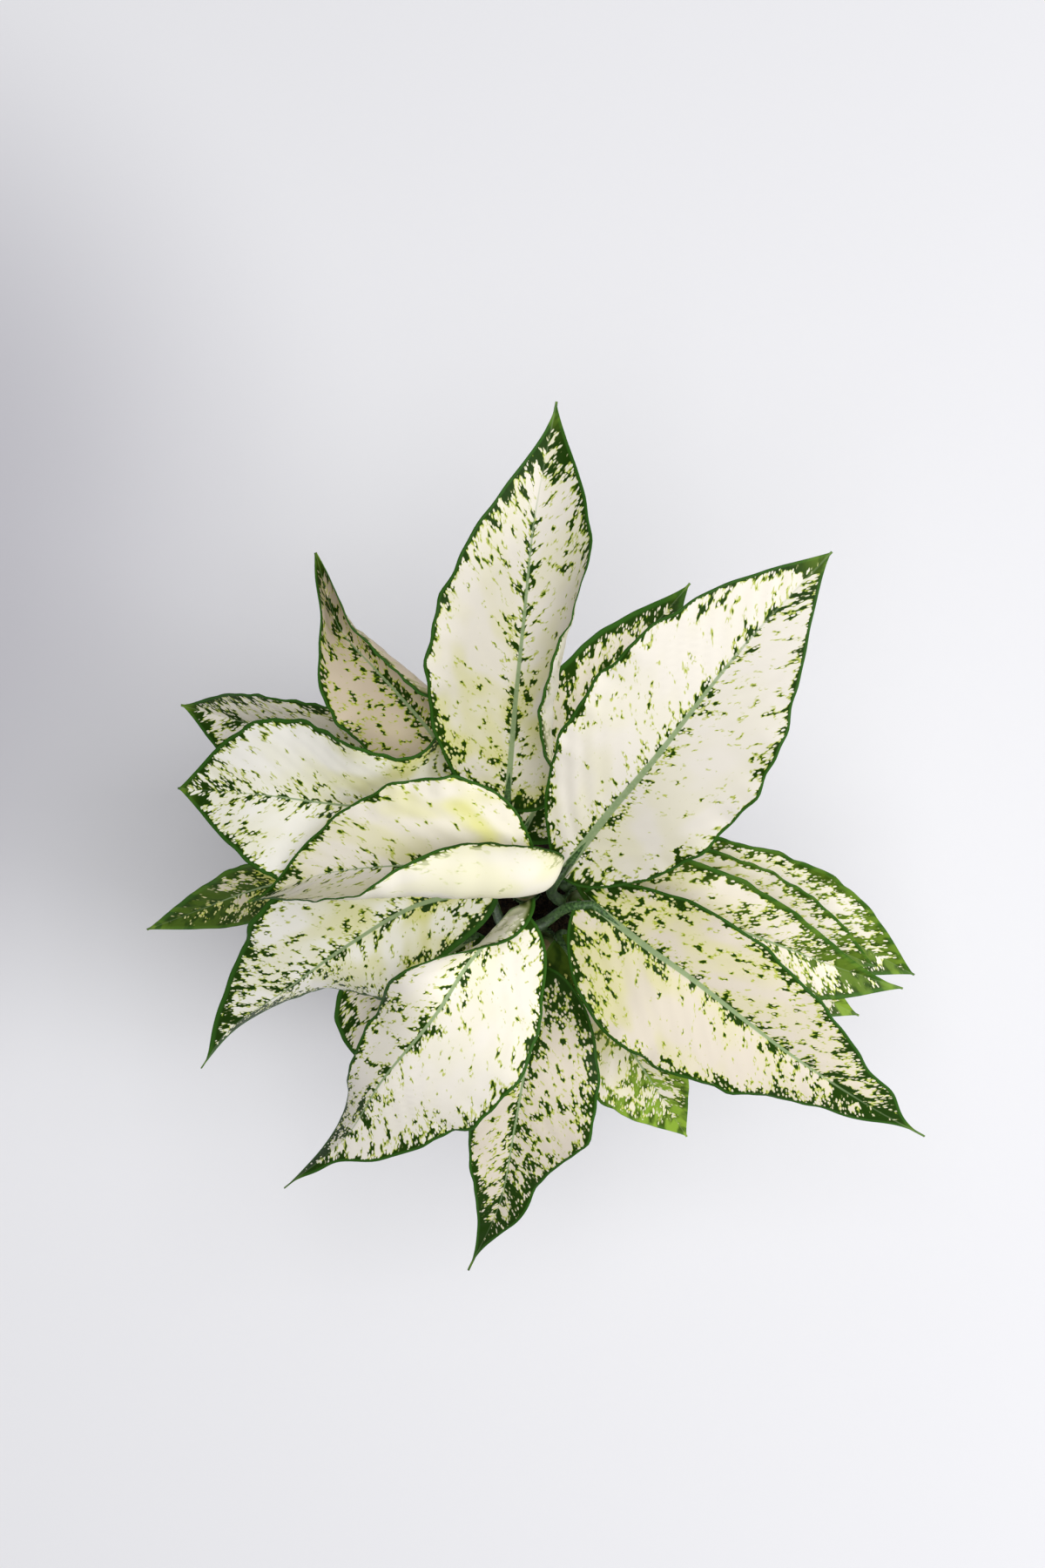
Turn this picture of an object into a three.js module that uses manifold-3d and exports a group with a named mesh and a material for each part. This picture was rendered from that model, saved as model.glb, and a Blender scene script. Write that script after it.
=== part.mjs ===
import * as THREE from 'three';
import { mergeVertices } from 'three/addons/utils/BufferGeometryUtils.js';
import Module from 'manifold-3d';

// A potted white variegated Chinese evergreen: 18 broad leaves on long petioles, three short canes,
// potting soil and a plain round pot. Millimetres, +Z up, origin at the centre of the pot's underside.

// Driving dimensions
const POT_HEIGHT = 140;
const POT_RIM_RADIUS = 78;
const POT_BASE_RADIUS = 58;
const POT_WALL = 5;
const POT_FLOOR = 7;
const POT_ROUNDING = 3;
const DRAIN_HOLE = { radius: 5, fromCentre: 32, count: 4 };
const SOIL_TOP = 125;
const CANE_RADIUS = 6.5;
const CANE_FOOT = 84;
const LEAF_SCAR_SPACING = 24;
const LEAF_SCAR_DEPTH = 0.4;
const FIT_GAP = 0.3;
const SOIL_WALL_GAP = 0.6;
const SOIL_MOUND = 3;
const PETIOLE_RADIUS = 3;
const PETIOLE_TAPER = 0.25;
const BLADE_THICKNESS = 0.9;
const MIDRIB_DEPTH = 2;
const SHEATH = { gap: 0.4, thickness: 1.3, height: 7.5, reach: 75 };

// Each cane: its place on the soil and the height of its top
const CANES = [
  { name: 'stem_northwest', x: -13, y: 16, top: 214 },
  { name: 'stem_east', x: 15, y: 8, top: 198 },
  { name: 'stem_south', x: -4, y: -14, top: 186 },
];

// Each leaf. cane, node and side place its sheath: the cane, the height on it and the compass angle.
// stalk leads the petiole to the blade, spine is the midrib from the blade's base to its tip.
// The other pairs are the left and the right half, seen from above with the tip ahead:
// width is the half's greatest width, widest where it lies along the leaf, and round and taper shape
// the outline before and behind it. lobe is how far the half reaches back past the petiole.
// lift is the slope of the half at the midrib and bend the turn from there to its margin, in degrees,
// as evenly spaced values from base to tip. dents are dips in a margin: the half, the place along the
// leaf, the span and the depth, below zero for a bulge. wave is the count, height and start of the
// margin's waves.
// strips are the facets across each half, and rows those along the leaf.
const LEAVES = [
  {
    name: 'leaf_north', cane: 0, node: 192, side: 125,
    stalk: [[-22, 34, 228], [-29, 50, 264]],
    spine: [[-21, 61, 295], [-17, 107, 320], [-13, 145, 338], [-9, 183, 350], [1, 236, 352]],
    width: [42, 44], widest: [0.38, 0.42], round: [0.5, 0.4], taper: [1.8, 1.3], lobe: [5, 6],
    lift: [[10, 8, 6, 10], [5, 5, 5, 10]],
    bend: [[5, 5, 0, 0], [20, 125, 115, 40, 0]],
    wave: [3, 1.5, 0.1], strips: [3, 6], rows: 14,
  },
  {
    name: 'leaf_northeast', cane: 1, node: 186, side: 170,
    stalk: [[0, 16, 240], [2, 24, 288]],
    spine: [[8, 33, 318], [25, 56, 340], [43, 78, 358], [80, 126, 378], [118, 167, 386]],
    width: [42, 45], widest: [0.42, 0.42], round: [0.7, 0.5], taper: [1.1, 1.35], lobe: [10, 11],
    lift: [[16, 12, 8, 5], [16, 12, 8, 5]],
    bend: [[-5, -5, 0, 0], [-5, -5, 0, 0]],
    wave: [3, 1.5, 0.3], strips: [3, 3], rows: 13,
  },
  {
    name: 'leaf_north_inner', cane: 0, node: 165, side: 70,
    stalk: [[-8, 30, 225]],
    spine: [[-15, 43, 266], [-7, 58, 278], [10, 90, 295], [32, 123, 309], [62, 159, 315]],
    width: [25, 34], widest: [0.5, 0.4], round: [0.8, 0.6], taper: [1.4, 1.3], lobe: [3, 3],
    lift: [[15, 20, 20, 10], [5]],
    bend: [[0], [0]],
    wave: [3, 1.5, 0.6], strips: [3, 3], rows: 12,
  },
  {
    name: 'leaf_northwest', cane: 0, node: 156, side: 100,
    stalk: [[-24, 42, 210], [-36, 58, 244]],
    spine: [
      [-45, 71, 266], [-54, 88, 279], [-72, 110, 293], [-82, 121, 299],
      [-97, 138, 306], [-102, 151, 310], [-108, 173, 314],
    ],
    width: [30, 36], widest: [0.5, 0.35], round: [0.6, 0.6], taper: [1.2, 1.1], lobe: [4, 4],
    lift: [[5, 5, 5, 22, 74, 62], [15, 15, 28, 44, 46]],
    bend: [[0], [20, 85, 100, 60, 30]],
    wave: [2, 1, 0.2], strips: [3, 6], rows: 15,
  },
  {
    name: 'leaf_west_upper', cane: 0, node: 147, side: 130,
    stalk: [[-34, 44, 200], [-52, 64, 238]],
    spine: [[-64, 76, 250], [-97, 85, 260], [-130, 93, 260], [-179, 106, 238]],
    width: [32, 30], widest: [0.4, 0.4], round: [0.6, 0.6], taper: [1.3, 1.3], lobe: [5, 5],
    lift: [[5], [40, 58, 45]],
    bend: [[0], [0]],
    wave: [2, 1, 0.5], strips: [3, 3], rows: 12,
  },
  {
    name: 'leaf_west', cane: 0, node: 183, side: 165,
    stalk: [[-30, 27, 232], [-42, 44, 266]],
    spine: [[-50, 56, 289], [-94, 58, 302], [-134, 63, 299], [-175, 66, 280]],
    width: [42, 40], widest: [0.4, 0.5], round: [0.5, 0.28], taper: [1.2, 1.2], lobe: [5, 6],
    lift: [[5, 5, 3], [0, 45, 48, 28, 15, 10, 10]],
    bend: [[0], [0]],
    dents: [[1, 0.08, 0.05, -9]],
    wave: [3, 1.5, 0.8], strips: [3, 4], rows: 14,
  },
  {
    name: 'leaf_center_west', cane: 0, node: 201, side: 20,
    stalk: [[-6, 24, 255], [-6, 26, 300]],
    spine: [[-6, 30, 322], [-42, 32, 334], [-76, 31, 332], [-105, 27, 322], [-140, 14, 302]],
    width: [55, 41], widest: [0.26, 0.3], round: [0.2, 0.9], taper: [1.4, 2.1], lobe: [8, 0],
    lift: [[0, 0, 0, 22, 44, 52, 58, 66, 66], [20, 18, 12, 10, 10]],
    bend: [[235, 232, 226, 146, 68, 44, 35, 30, 20], [0]],
    wave: [2, 1, 0], strips: [9, 3], rows: 17,
  },
  {
    name: 'leaf_southwest', cane: 2, node: 165, side: 150,
    stalk: [[-24, 0, 225], [-28, 12, 258]],
    spine: [
      [-30, 18, 278], [-62, 12, 287], [-95, -7, 281], [-125, -29, 260],
      [-157, -52, 233], [-172, -72, 215],
    ],
    width: [32, 40], widest: [0.33, 0.4], round: [0.5, 0.5], taper: [1.6, 2.0], lobe: [5, 5],
    lift: [[0, 0, -10, -65, -75, -60], [8]],
    bend: [[0], [0]],
    wave: [3, 1.5, 0.4], strips: [3, 3], rows: 14,
  },
  {
    name: 'leaf_south_southwest', cane: 0, node: 174, side: 270,
    stalk: [[-13, 5, 235], [-12, 9, 280]],
    spine: [
      [-18, 8, 300], [-38, -13, 314], [-53, -36, 318], [-78, -67, 306],
      [-97, -97, 282], [-128, -125, 252],
    ],
    width: [48, 26], widest: [0.38, 0.4], round: [0.4, 0.45], taper: [2.3, 1.6], lobe: [6, 13],
    lift: [[0], [75, 52, 0, -32, -42, -55, -60, -60]],
    bend: [[0], [150, 90, 20, 0, 0, 0, 0, 0]],
    dents: [[0, 0.8, 0.06, 5]],
    wave: [3, 2, 0.2], strips: [3, 5], rows: 16,
  },
  {
    name: 'leaf_south', cane: 2, node: 156, side: 250,
    stalk: [[-10, -27, 205], [-9, -26, 240]],
    spine: [[-5, -23, 262], [-13, -67, 272], [-18, -97, 260], [-25, -135, 234], [-41, -174, 200]],
    width: [37, 23], widest: [0.35, 0.35], round: [0.5, 0.5], taper: [2.6, 1.9], lobe: [5, 5],
    lift: [[8], [8]],
    bend: [[0], [0]],
    dents: [[0, 0.57, 0.11, 9]],
    wave: [3, 1.5, 0.9], strips: [3, 3], rows: 13,
  },
  {
    name: 'leaf_southeast', cane: 2, node: 174, side: 90,
    stalk: [[-8, -1, 235], [-3, 3, 268], [8, 11, 288]],
    spine: [
      [19, 12, 292], [42, -6, 300], [62, -20, 303], [107, -55, 290],
      [151, -85, 262], [180, -102, 240],
    ],
    width: [34, 45], widest: [0.34, 0.24], round: [0.5, 0.5], taper: [1.8, 2.6], lobe: [8, 8],
    lift: [[12, 28, 20], [5, 0, -10, -15]],
    bend: [[-5, -10, -10], [-10, -20, -10]],
    dents: [[0, 0.83, 0.06, -4], [1, 0.8, 0.09, -4]],
    wave: [3, 1.5, 0.5], strips: [3, 3], rows: 14,
  },
  {
    name: 'leaf_southeast_low', cane: 2, node: 147, side: 20,
    stalk: [[8, -8, 190], [5, -6, 216]],
    spine: [[5, -9, 228], [24, -38, 236], [43, -68, 228], [68, -108, 196]],
    width: [25, 30], widest: [0.4, 0.4], round: [0.5, 0.5], taper: [1.2, 1.2], lobe: [3, 3],
    lift: [[8], [8]],
    bend: [[0], [0]],
    wave: [2, 1, 0.1], strips: [3, 3], rows: 12,
  },
  {
    name: 'leaf_east_front', cane: 1, node: 165, side: 130,
    stalk: [[6, 19, 215], [8, 22, 252]],
    spine: [
      [23, 21, 270], [47, 13, 278], [73, 5, 280], [107, -8, 270],
      [135, -19, 256], [170, -31, 236],
    ],
    width: [26, 28], widest: [0.24, 0.4], round: [0.4, 0.5], taper: [1.9, 1.2], lobe: [5, 14],
    lift: [[20, 32, 25], [0]],
    bend: [[-10], [0]],
    wave: [3, 1, 0.7], strips: [3, 3], rows: 13,
  },
  {
    name: 'leaf_east_middle', cane: 1, node: 156, side: 15,
    stalk: [[32, 11, 215], [30, 13, 238]],
    spine: [[31, 18, 250], [69, 15, 258], [102, 3, 252], [133, -10, 240], [158, -21, 226]],
    width: [26, 28], widest: [0.38, 0.35], round: [0.5, 0.5], taper: [1.2, 1.2], lobe: [5, 5],
    lift: [[25, 30, 20], [5]],
    bend: [[0], [0]],
    wave: [2, 1, 0.3], strips: [3, 3], rows: 12,
  },
  {
    name: 'leaf_east_rear', cane: 1, node: 147, side: 60,
    stalk: [[27, 27, 205]],
    spine: [[37, 35, 236], [70, 22, 242], [104, 10, 236], [133, -2, 224], [181, -27, 200]],
    width: [28, 30], widest: [0.45, 0.4], round: [0.5, 0.8], taper: [1.2, 1.2], lobe: [5, 3],
    lift: [[25, 25, 15], [5]],
    bend: [[0], [0]],
    wave: [3, 1.5, 0.6], strips: [3, 3], rows: 12,
  },
  {
    name: 'leaf_east_low', cane: 1, node: 138, side: -50,
    stalk: [[30, 1, 185]],
    spine: [[38, 8, 212], [66, -4, 222], [97, -20, 212], [129, -35, 196], [156, -49, 180]],
    width: [26, 26], widest: [0.4, 0.4], round: [0.5, 0.5], taper: [1.4, 1.2], lobe: [3, 3],
    lift: [[8], [8]],
    bend: [[0], [0]],
    wave: [2, 1, 0.4], strips: [3, 3], rows: 12,
  },
  {
    name: 'leaf_west_low', cane: 0, node: 138, side: 165,
    stalk: [[-36, 28, 185], [-54, 36, 220]],
    spine: [[-65, 38, 234], [-107, 26, 238], [-146, 16, 226], [-173, 6, 210], [-202, -5, 192]],
    width: [26, 18], widest: [0.4, 0.4], round: [0.5, 0.5], taper: [1.2, 1.2], lobe: [4, 4],
    lift: [[-30, -40, -30], [35, 40, 35]],
    bend: [[0], [0]],
    wave: [2, 1, 0.8], strips: [3, 3], rows: 12,
  },
  {
    name: 'leaf_southwest_low', cane: 2, node: 138, side: 200,
    stalk: [[-24, -16, 190]],
    spine: [[-37, -6, 228], [-65, -25, 234], [-82, -46, 228], [-89, -76, 206]],
    width: [30, 28], widest: [0.45, 0.45], round: [0.5, 0.5], taper: [1.2, 1.2], lobe: [4, 4],
    lift: [[8], [8]],
    bend: [[0], [0]],
    wave: [2, 1, 0.9], strips: [3, 3], rows: 12,
  },
];

const wasm = await Module();
wasm.setup();

const UP = new THREE.Vector3(0, 0, 1);
const COLOURS = {
  blade: 0xefeedd,
  stem: 0x5f7a3c,
  soil: 0x2c211b,
  pot: 0xf1efea,
};

// Solids

function toSolid(geometry) {
  const bare = geometry.clone();
  bare.deleteAttribute('normal');
  bare.deleteAttribute('uv');
  const merged = mergeVertices(bare, 1e-4);
  const mesh = new wasm.Mesh({
    numProp: 3,
    vertProperties: new Float32Array(merged.attributes.position.array),
    triVerts: new Uint32Array(merged.index.array),
  });
  return new wasm.Manifold(mesh);
}

function toGeometry(solid) {
  const mesh = solid.getMesh();
  const geometry = new THREE.BufferGeometry();
  geometry.setAttribute('position', new THREE.BufferAttribute(mesh.vertProperties, 3));
  geometry.setIndex(new THREE.BufferAttribute(mesh.triVerts, 1));
  geometry.computeVertexNormals();
  return geometry;
}

function upright(radius, bottom, top, sides) {
  const geometry = new THREE.CylinderGeometry(radius, radius, top - bottom, sides);
  geometry.rotateX(Math.PI / 2);
  geometry.translate(0, 0, (top + bottom) / 2);
  return geometry;
}

function turned(profile, sides) {
  const geometry = new THREE.LatheGeometry(profile.map(([r, z]) => new THREE.Vector2(r, z)), sides);
  geometry.rotateX(Math.PI / 2);
  return geometry;
}

// A round rod along a list of points, with its own radius at each
function rod(points, radii, sides) {
  const positions = [];
  const index = [];
  const across = new THREE.Vector3();
  points.forEach((point, k) => {
    const ahead = points[Math.min(k + 1, points.length - 1)];
    const behind = points[Math.max(k - 1, 0)];
    const along = ahead.clone().sub(behind).normalize();
    if (k === 0) {
      across.set(1, 0, 0).cross(along).normalize();
    }
    across.addScaledVector(along, -across.dot(along)).normalize();
    const other = along.clone().cross(across);
    for (let s = 0; s < sides; s += 1) {
      const angle = (2 * Math.PI * s) / sides;
      const corner = point.clone()
        .addScaledVector(across, radii[k] * Math.cos(angle))
        .addScaledVector(other, radii[k] * Math.sin(angle));
      positions.push(corner.x, corner.y, corner.z);
    }
  });
  for (let k = 0; k < points.length - 1; k += 1) {
    for (let s = 0; s < sides; s += 1) {
      const a = k * sides + s;
      const b = k * sides + ((s + 1) % sides);
      index.push(a, b, b + sides, a, b + sides, a + sides);
    }
  }
  const last = (points.length - 1) * sides;
  for (let s = 1; s < sides - 1; s += 1) {
    index.push(0, s + 1, s, last, last + s, last + s + 1);
  }
  const geometry = new THREE.BufferGeometry();
  geometry.setAttribute('position', new THREE.Float32BufferAttribute(positions, 3));
  geometry.setIndex(index);
  return geometry;
}

// Leaf blade

// A smooth run through evenly spaced values, at t from 0 to 1
function valueAt(values, t) {
  const last = values.length - 1;
  if (last === 0) {
    return values[0];
  }
  const place = Math.min(Math.max(t, 0), 1) * last;
  const i = Math.min(Math.floor(place), last - 1);
  const x = place - i;
  const p1 = values[i];
  const p2 = values[i + 1];
  const p0 = i > 0 ? values[i - 1] : 2 * p1 - p2;
  const p3 = i + 2 <= last ? values[i + 2] : 2 * p2 - p1;
  const cubic = (3 * p1 - p0 - 3 * p2 + p3) * x ** 3;
  const square = (2 * p0 - 5 * p1 + 4 * p2 - p3) * x ** 2;
  return 0.5 * (2 * p1 + (p2 - p0) * x + square + cubic);
}

function halfWidth(leaf, side, t) {
  const widest = leaf.widest[side];
  let share = 0;
  if (t < widest) {
    share = (1 - (1 - t / widest) ** 2) ** leaf.round[side];
  } else {
    share = (1 - ((t - widest) / (1 - widest)) ** 2) ** leaf.taper[side];
  }
  let width = leaf.width[side] * share;
  for (const [dented, place, span, depth] of leaf.dents ?? []) {
    if (dented === side) {
      width -= depth * Math.exp(-(((t - place) / span) ** 2));
    }
  }
  return Math.max(width, t < 0.5 ? 2.2 : 0.5);
}

// The midrib's point, direction, right hand and upper side at t
function midribAt(curve, t) {
  const step = 0.03;
  const point = curve.getPointAt(t);
  const ahead = curve.getPointAt(Math.min(t + step, 1));
  const along = ahead.sub(curve.getPointAt(Math.max(t - step, 0))).normalize();
  const right = along.clone().cross(UP).normalize();
  const up = right.clone().cross(along);
  return { point, along, right, up };
}

// The upper face's point at t along the leaf and q across it, from -1 at the left margin to 1
function bladePoint(leaf, curve, t, q) {
  const side = q < 0 ? 0 : 1;
  const reach = Math.abs(q);
  const steps = 12;
  const stride = (reach * halfWidth(leaf, side, t)) / steps;
  const lift = valueAt(leaf.lift[side], t);
  const bend = valueAt(leaf.bend[side], t);
  let out = 0;
  let rise = 0;
  for (let k = 0; k < steps; k += 1) {
    const slope = THREE.MathUtils.degToRad(lift + (bend * reach * (k + 0.5)) / steps);
    out += Math.cos(slope) * stride;
    rise += Math.sin(slope) * stride;
  }
  const [count, height, start] = leaf.wave;
  const swing = Math.sin(2 * Math.PI * (count * t + start + 0.35 * side));
  rise += height * swing * reach ** 3 * Math.sin(Math.PI * Math.min(t * 1.3, 1));
  const back = leaf.lobe[side] * Math.exp(-t / 0.07) * reach ** 1.5;
  const { point, along, right, up } = midribAt(curve, t);
  return point
    .addScaledVector(right, q < 0 ? -out : out)
    .addScaledVector(up, rise)
    .addScaledVector(along, -back);
}

// Rows lie closer together at the base and the tip
function rowPlaces(count) {
  const places = [];
  for (let i = 0; i <= count; i += 1) {
    const even = i / count;
    places.push(0.55 * (0.5 - 0.5 * Math.cos(Math.PI * even)) + 0.45 * even);
  }
  return places;
}

function stripPlaces([left, right]) {
  const places = [];
  for (let j = left; j > 0; j -= 1) {
    places.push(-j / left);
  }
  for (let j = 0; j <= right; j += 1) {
    places.push(j / right);
  }
  return places;
}

// Upper and lower face have the same facets, joined by a strip round the edge. Below the midrib
// the lower face hangs down in a keel.
function bladeGeometry(leaf, curve) {
  const ts = rowPlaces(leaf.rows);
  const qs = stripPlaces(leaf.strips);
  const rows = ts.length;
  const columns = qs.length;
  const middle = leaf.strips[0];
  const upper = ts.map((t) => qs.map((q) => bladePoint(leaf, curve, t, q)));
  const positions = [];
  upper.forEach((row) => row.forEach((p) => positions.push(p.x, p.y, p.z)));
  for (let i = 0; i < rows; i += 1) {
    for (let j = 0; j < columns; j += 1) {
      const across = upper[i][Math.min(j + 1, columns - 1)].clone().sub(upper[i][Math.max(j - 1, 0)]);
      const along = upper[Math.min(i + 1, rows - 1)][j].clone().sub(upper[Math.max(i - 1, 0)][j]);
      const normal = across.cross(along).normalize();
      const rib = j === middle ? MIDRIB_DEPTH * (1 - ts[i]) : 0;
      const p = upper[i][j].clone().addScaledVector(normal, -BLADE_THICKNESS - rib);
      positions.push(p.x, p.y, p.z);
    }
  }
  const index = [];
  const under = rows * columns;
  const at = (i, j) => i * columns + j;
  const facet = (a, b, c) => index.push(a, b, c, c + under, b + under, a + under);
  for (let i = 0; i < rows - 1; i += 1) {
    for (let j = 0; j < columns - 1; j += 1) {
      const [a, b, c, d] = [at(i, j), at(i, j + 1), at(i + 1, j + 1), at(i + 1, j)];
      if (j < middle) {
        facet(a, b, c);
        facet(a, c, d);
      } else {
        facet(a, b, d);
        facet(b, c, d);
      }
    }
  }
  const edge = [];
  for (let j = columns - 1; j > 0; j -= 1) {
    edge.push(at(0, j));
  }
  for (let i = 0; i < rows - 1; i += 1) {
    edge.push(at(i, 0));
  }
  for (let j = 0; j < columns - 1; j += 1) {
    edge.push(at(rows - 1, j));
  }
  for (let i = rows - 1; i > 0; i -= 1) {
    edge.push(at(i, columns - 1));
  }
  edge.forEach((a, k) => {
    const b = edge[(k + 1) % edge.length];
    index.push(a, b, a + under, b, b + under, a + under);
  });
  const geometry = new THREE.BufferGeometry();
  geometry.setAttribute('position', new THREE.Float32BufferAttribute(positions, 3));
  geometry.setIndex(index);
  return geometry;
}

// The petiole starts upright beside the cane, leads to the blade and ends inside its midrib
function petioleGeometry(leaf, curve) {
  const cane = CANES[leaf.cane];
  const angle = THREE.MathUtils.degToRad(leaf.side);
  const out = new THREE.Vector3(Math.cos(angle), Math.sin(angle), 0);
  const start = new THREE.Vector3(cane.x, cane.y, leaf.node)
    .addScaledVector(out, CANE_RADIUS + SHEATH.gap + PETIOLE_RADIUS);
  const above = start.clone().addScaledVector(out, 0.8);
  above.z += 6;
  const end = curve.getPointAt(0);
  end.z -= 1.2;
  const path = new THREE.CatmullRomCurve3(
    [start, above, ...leaf.stalk.map((p) => new THREE.Vector3(...p)), end],
    false,
    'centripetal',
  );
  const steps = 6;
  const points = [];
  const radii = [];
  for (let k = 0; k <= steps; k += 1) {
    points.push(path.getPointAt(k / steps));
    radii.push(PETIOLE_RADIUS * (1 - (PETIOLE_TAPER * k) / steps));
  }
  const { point, up } = midribAt(curve, 0.09);
  points.push(point.addScaledVector(up, -1.6));
  radii.push(1);
  return rod(points, radii, 6);
}

// The sheath clasps the cane where the petiole starts
function sheathGeometry(leaf) {
  const cane = CANES[leaf.cane];
  const inner = CANE_RADIUS + SHEATH.gap;
  const outer = inner + SHEATH.thickness;
  const middle = THREE.MathUtils.degToRad(leaf.side);
  const reach = THREE.MathUtils.degToRad(SHEATH.reach);
  const shape = new THREE.Shape();
  shape.absarc(0, 0, outer, middle - reach, middle + reach, false);
  shape.absarc(0, 0, inner, middle + reach, middle - reach, true);
  const geometry = new THREE.ExtrudeGeometry(shape, {
    depth: SHEATH.height,
    bevelEnabled: false,
    curveSegments: 6,
  });
  geometry.translate(cane.x, cane.y, leaf.node);
  return geometry;
}

function leafGeometry(leaf) {
  const spine = leaf.spine.map((p) => new THREE.Vector3(...p));
  const curve = new THREE.CatmullRomCurve3(spine, false, 'centripetal');
  const blade = toSolid(bladeGeometry(leaf, curve));
  const petiole = toSolid(petioleGeometry(leaf, curve));
  const sheath = toSolid(sheathGeometry(leaf));
  return toGeometry(blade.add(petiole).add(sheath));
}

// Canes, soil and pot

function caneGeometry(cane) {
  const profile = [[0, CANE_FOOT], [CANE_RADIUS, CANE_FOOT]];
  for (let z = SOIL_TOP + 4; z < cane.top - 16; z += LEAF_SCAR_SPACING) {
    profile.push([CANE_RADIUS, z], [CANE_RADIUS - LEAF_SCAR_DEPTH, z + LEAF_SCAR_SPACING / 2]);
  }
  profile.push([CANE_RADIUS, cane.top - 4], [CANE_RADIUS - 3, cane.top - 0.8], [0, cane.top]);
  const geometry = turned(profile, 12);
  geometry.translate(cane.x, cane.y, 0);
  return geometry;
}

// The inner wall's radius at a height
function innerRadius(z) {
  const outer = POT_BASE_RADIUS + ((POT_RIM_RADIUS - POT_BASE_RADIUS) * z) / POT_HEIGHT;
  return outer - POT_WALL;
}

function potGeometry() {
  const rim = POT_WALL / 2;
  const profile = [
    [0, 0],
    [POT_BASE_RADIUS - POT_ROUNDING, 0],
    [POT_BASE_RADIUS - 0.3 * POT_ROUNDING, 0.3 * POT_ROUNDING],
    [POT_BASE_RADIUS, POT_ROUNDING],
    [POT_RIM_RADIUS - 0.4, POT_HEIGHT - 4],
    [POT_RIM_RADIUS - 0.8, POT_HEIGHT - 1.2],
    [POT_RIM_RADIUS - rim, POT_HEIGHT],
    [POT_RIM_RADIUS - 2 * rim + 0.8, POT_HEIGHT - 1.2],
    [innerRadius(POT_HEIGHT - 4), POT_HEIGHT - 4],
    [innerRadius(POT_FLOOR + 4), POT_FLOOR + 4],
    [innerRadius(POT_FLOOR) - 4, POT_FLOOR],
    [0, POT_FLOOR],
  ];
  let solid = toSolid(turned(profile, 36));
  for (let k = 0; k < DRAIN_HOLE.count; k += 1) {
    const angle = ((k + 0.5) * 2 * Math.PI) / DRAIN_HOLE.count;
    const hole = upright(DRAIN_HOLE.radius, -1, POT_FLOOR + 1, 12);
    hole.translate(DRAIN_HOLE.fromCentre * Math.cos(angle), DRAIN_HOLE.fromCentre * Math.sin(angle), 0);
    solid = solid.subtract(toSolid(hole));
  }
  return toGeometry(solid);
}

// Soil lies in low lumps, a little higher round the canes
function soilGeometry() {
  const sides = 30;
  const floor = POT_FLOOR + FIT_GAP;
  const wall = (z) => innerRadius(z) - SOIL_WALL_GAP;
  const rings = [wall(SOIL_TOP), 58, 44, 30, 15];
  const profile = [[0, floor], [innerRadius(POT_FLOOR) - 5, floor], [wall(POT_FLOOR + 4), floor + 4]];
  rings.forEach((r) => profile.push([r, SOIL_TOP]));
  profile.push([0, SOIL_TOP]);
  const geometry = turned(profile, sides);
  const position = geometry.attributes.position;
  for (let k = 0; k < position.count; k += 1) {
    const x = position.getX(k);
    const y = position.getY(k);
    const far = Math.hypot(x, y);
    if (position.getZ(k) === SOIL_TOP && far < rings[0] - 1) {
      const lumps = Math.sin(x * 0.31 + 1) * Math.cos(y * 0.27) + 0.6 * Math.sin(x * 0.13 - y * 0.22);
      position.setZ(k, SOIL_TOP + SOIL_MOUND * (1 - far / rings[0]) + lumps);
    }
  }
  let solid = toSolid(geometry);
  for (const cane of CANES) {
    const hole = upright(CANE_RADIUS + 2 * FIT_GAP, CANE_FOOT - FIT_GAP, SOIL_TOP + 20, 16);
    hole.translate(cane.x, cane.y, 0);
    solid = solid.subtract(toSolid(hole));
  }
  return toGeometry(solid);
}

// The plant in its pot

const plant = new THREE.Group();

function addMesh(name, geometry, colour, roughness) {
  const material = new THREE.MeshStandardMaterial({ color: colour, roughness, metalness: 0 });
  const mesh = new THREE.Mesh(geometry, material);
  mesh.name = name;
  plant.add(mesh);
}

addMesh('pot', potGeometry(), COLOURS.pot, 0.6);
addMesh('soil', soilGeometry(), COLOURS.soil, 0.95);
for (const cane of CANES) {
  addMesh(cane.name, caneGeometry(cane), COLOURS.stem, 0.6);
}
for (const leaf of LEAVES) {
  addMesh(leaf.name, leafGeometry(leaf), COLOURS.blade, 0.45);
}

export default plant;
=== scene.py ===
import math

import bpy
import numpy as np
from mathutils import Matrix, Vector


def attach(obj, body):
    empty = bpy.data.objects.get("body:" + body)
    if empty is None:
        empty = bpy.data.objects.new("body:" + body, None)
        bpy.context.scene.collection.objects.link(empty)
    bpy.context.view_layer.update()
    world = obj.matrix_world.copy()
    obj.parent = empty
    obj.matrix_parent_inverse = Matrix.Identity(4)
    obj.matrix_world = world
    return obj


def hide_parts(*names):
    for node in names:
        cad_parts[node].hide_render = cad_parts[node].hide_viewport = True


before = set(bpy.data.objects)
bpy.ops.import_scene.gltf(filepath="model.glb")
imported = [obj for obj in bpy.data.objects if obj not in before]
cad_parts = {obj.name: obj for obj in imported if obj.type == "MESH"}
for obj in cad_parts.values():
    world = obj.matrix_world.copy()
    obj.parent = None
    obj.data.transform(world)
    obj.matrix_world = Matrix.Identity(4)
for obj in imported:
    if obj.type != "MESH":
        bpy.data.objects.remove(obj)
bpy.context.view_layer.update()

mm = 0.001


def deselectAll():
    if bpy.context.mode != "OBJECT":
        bpy.ops.object.mode_set(mode="OBJECT")
    bpy.ops.object.select_all(action="DESELECT")


def pick(*objects):
    # selects these and makes the first the active one
    deselectAll()
    for obj in objects:
        obj.select_set(True)
    bpy.context.view_layer.objects.active = objects[0]


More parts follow.
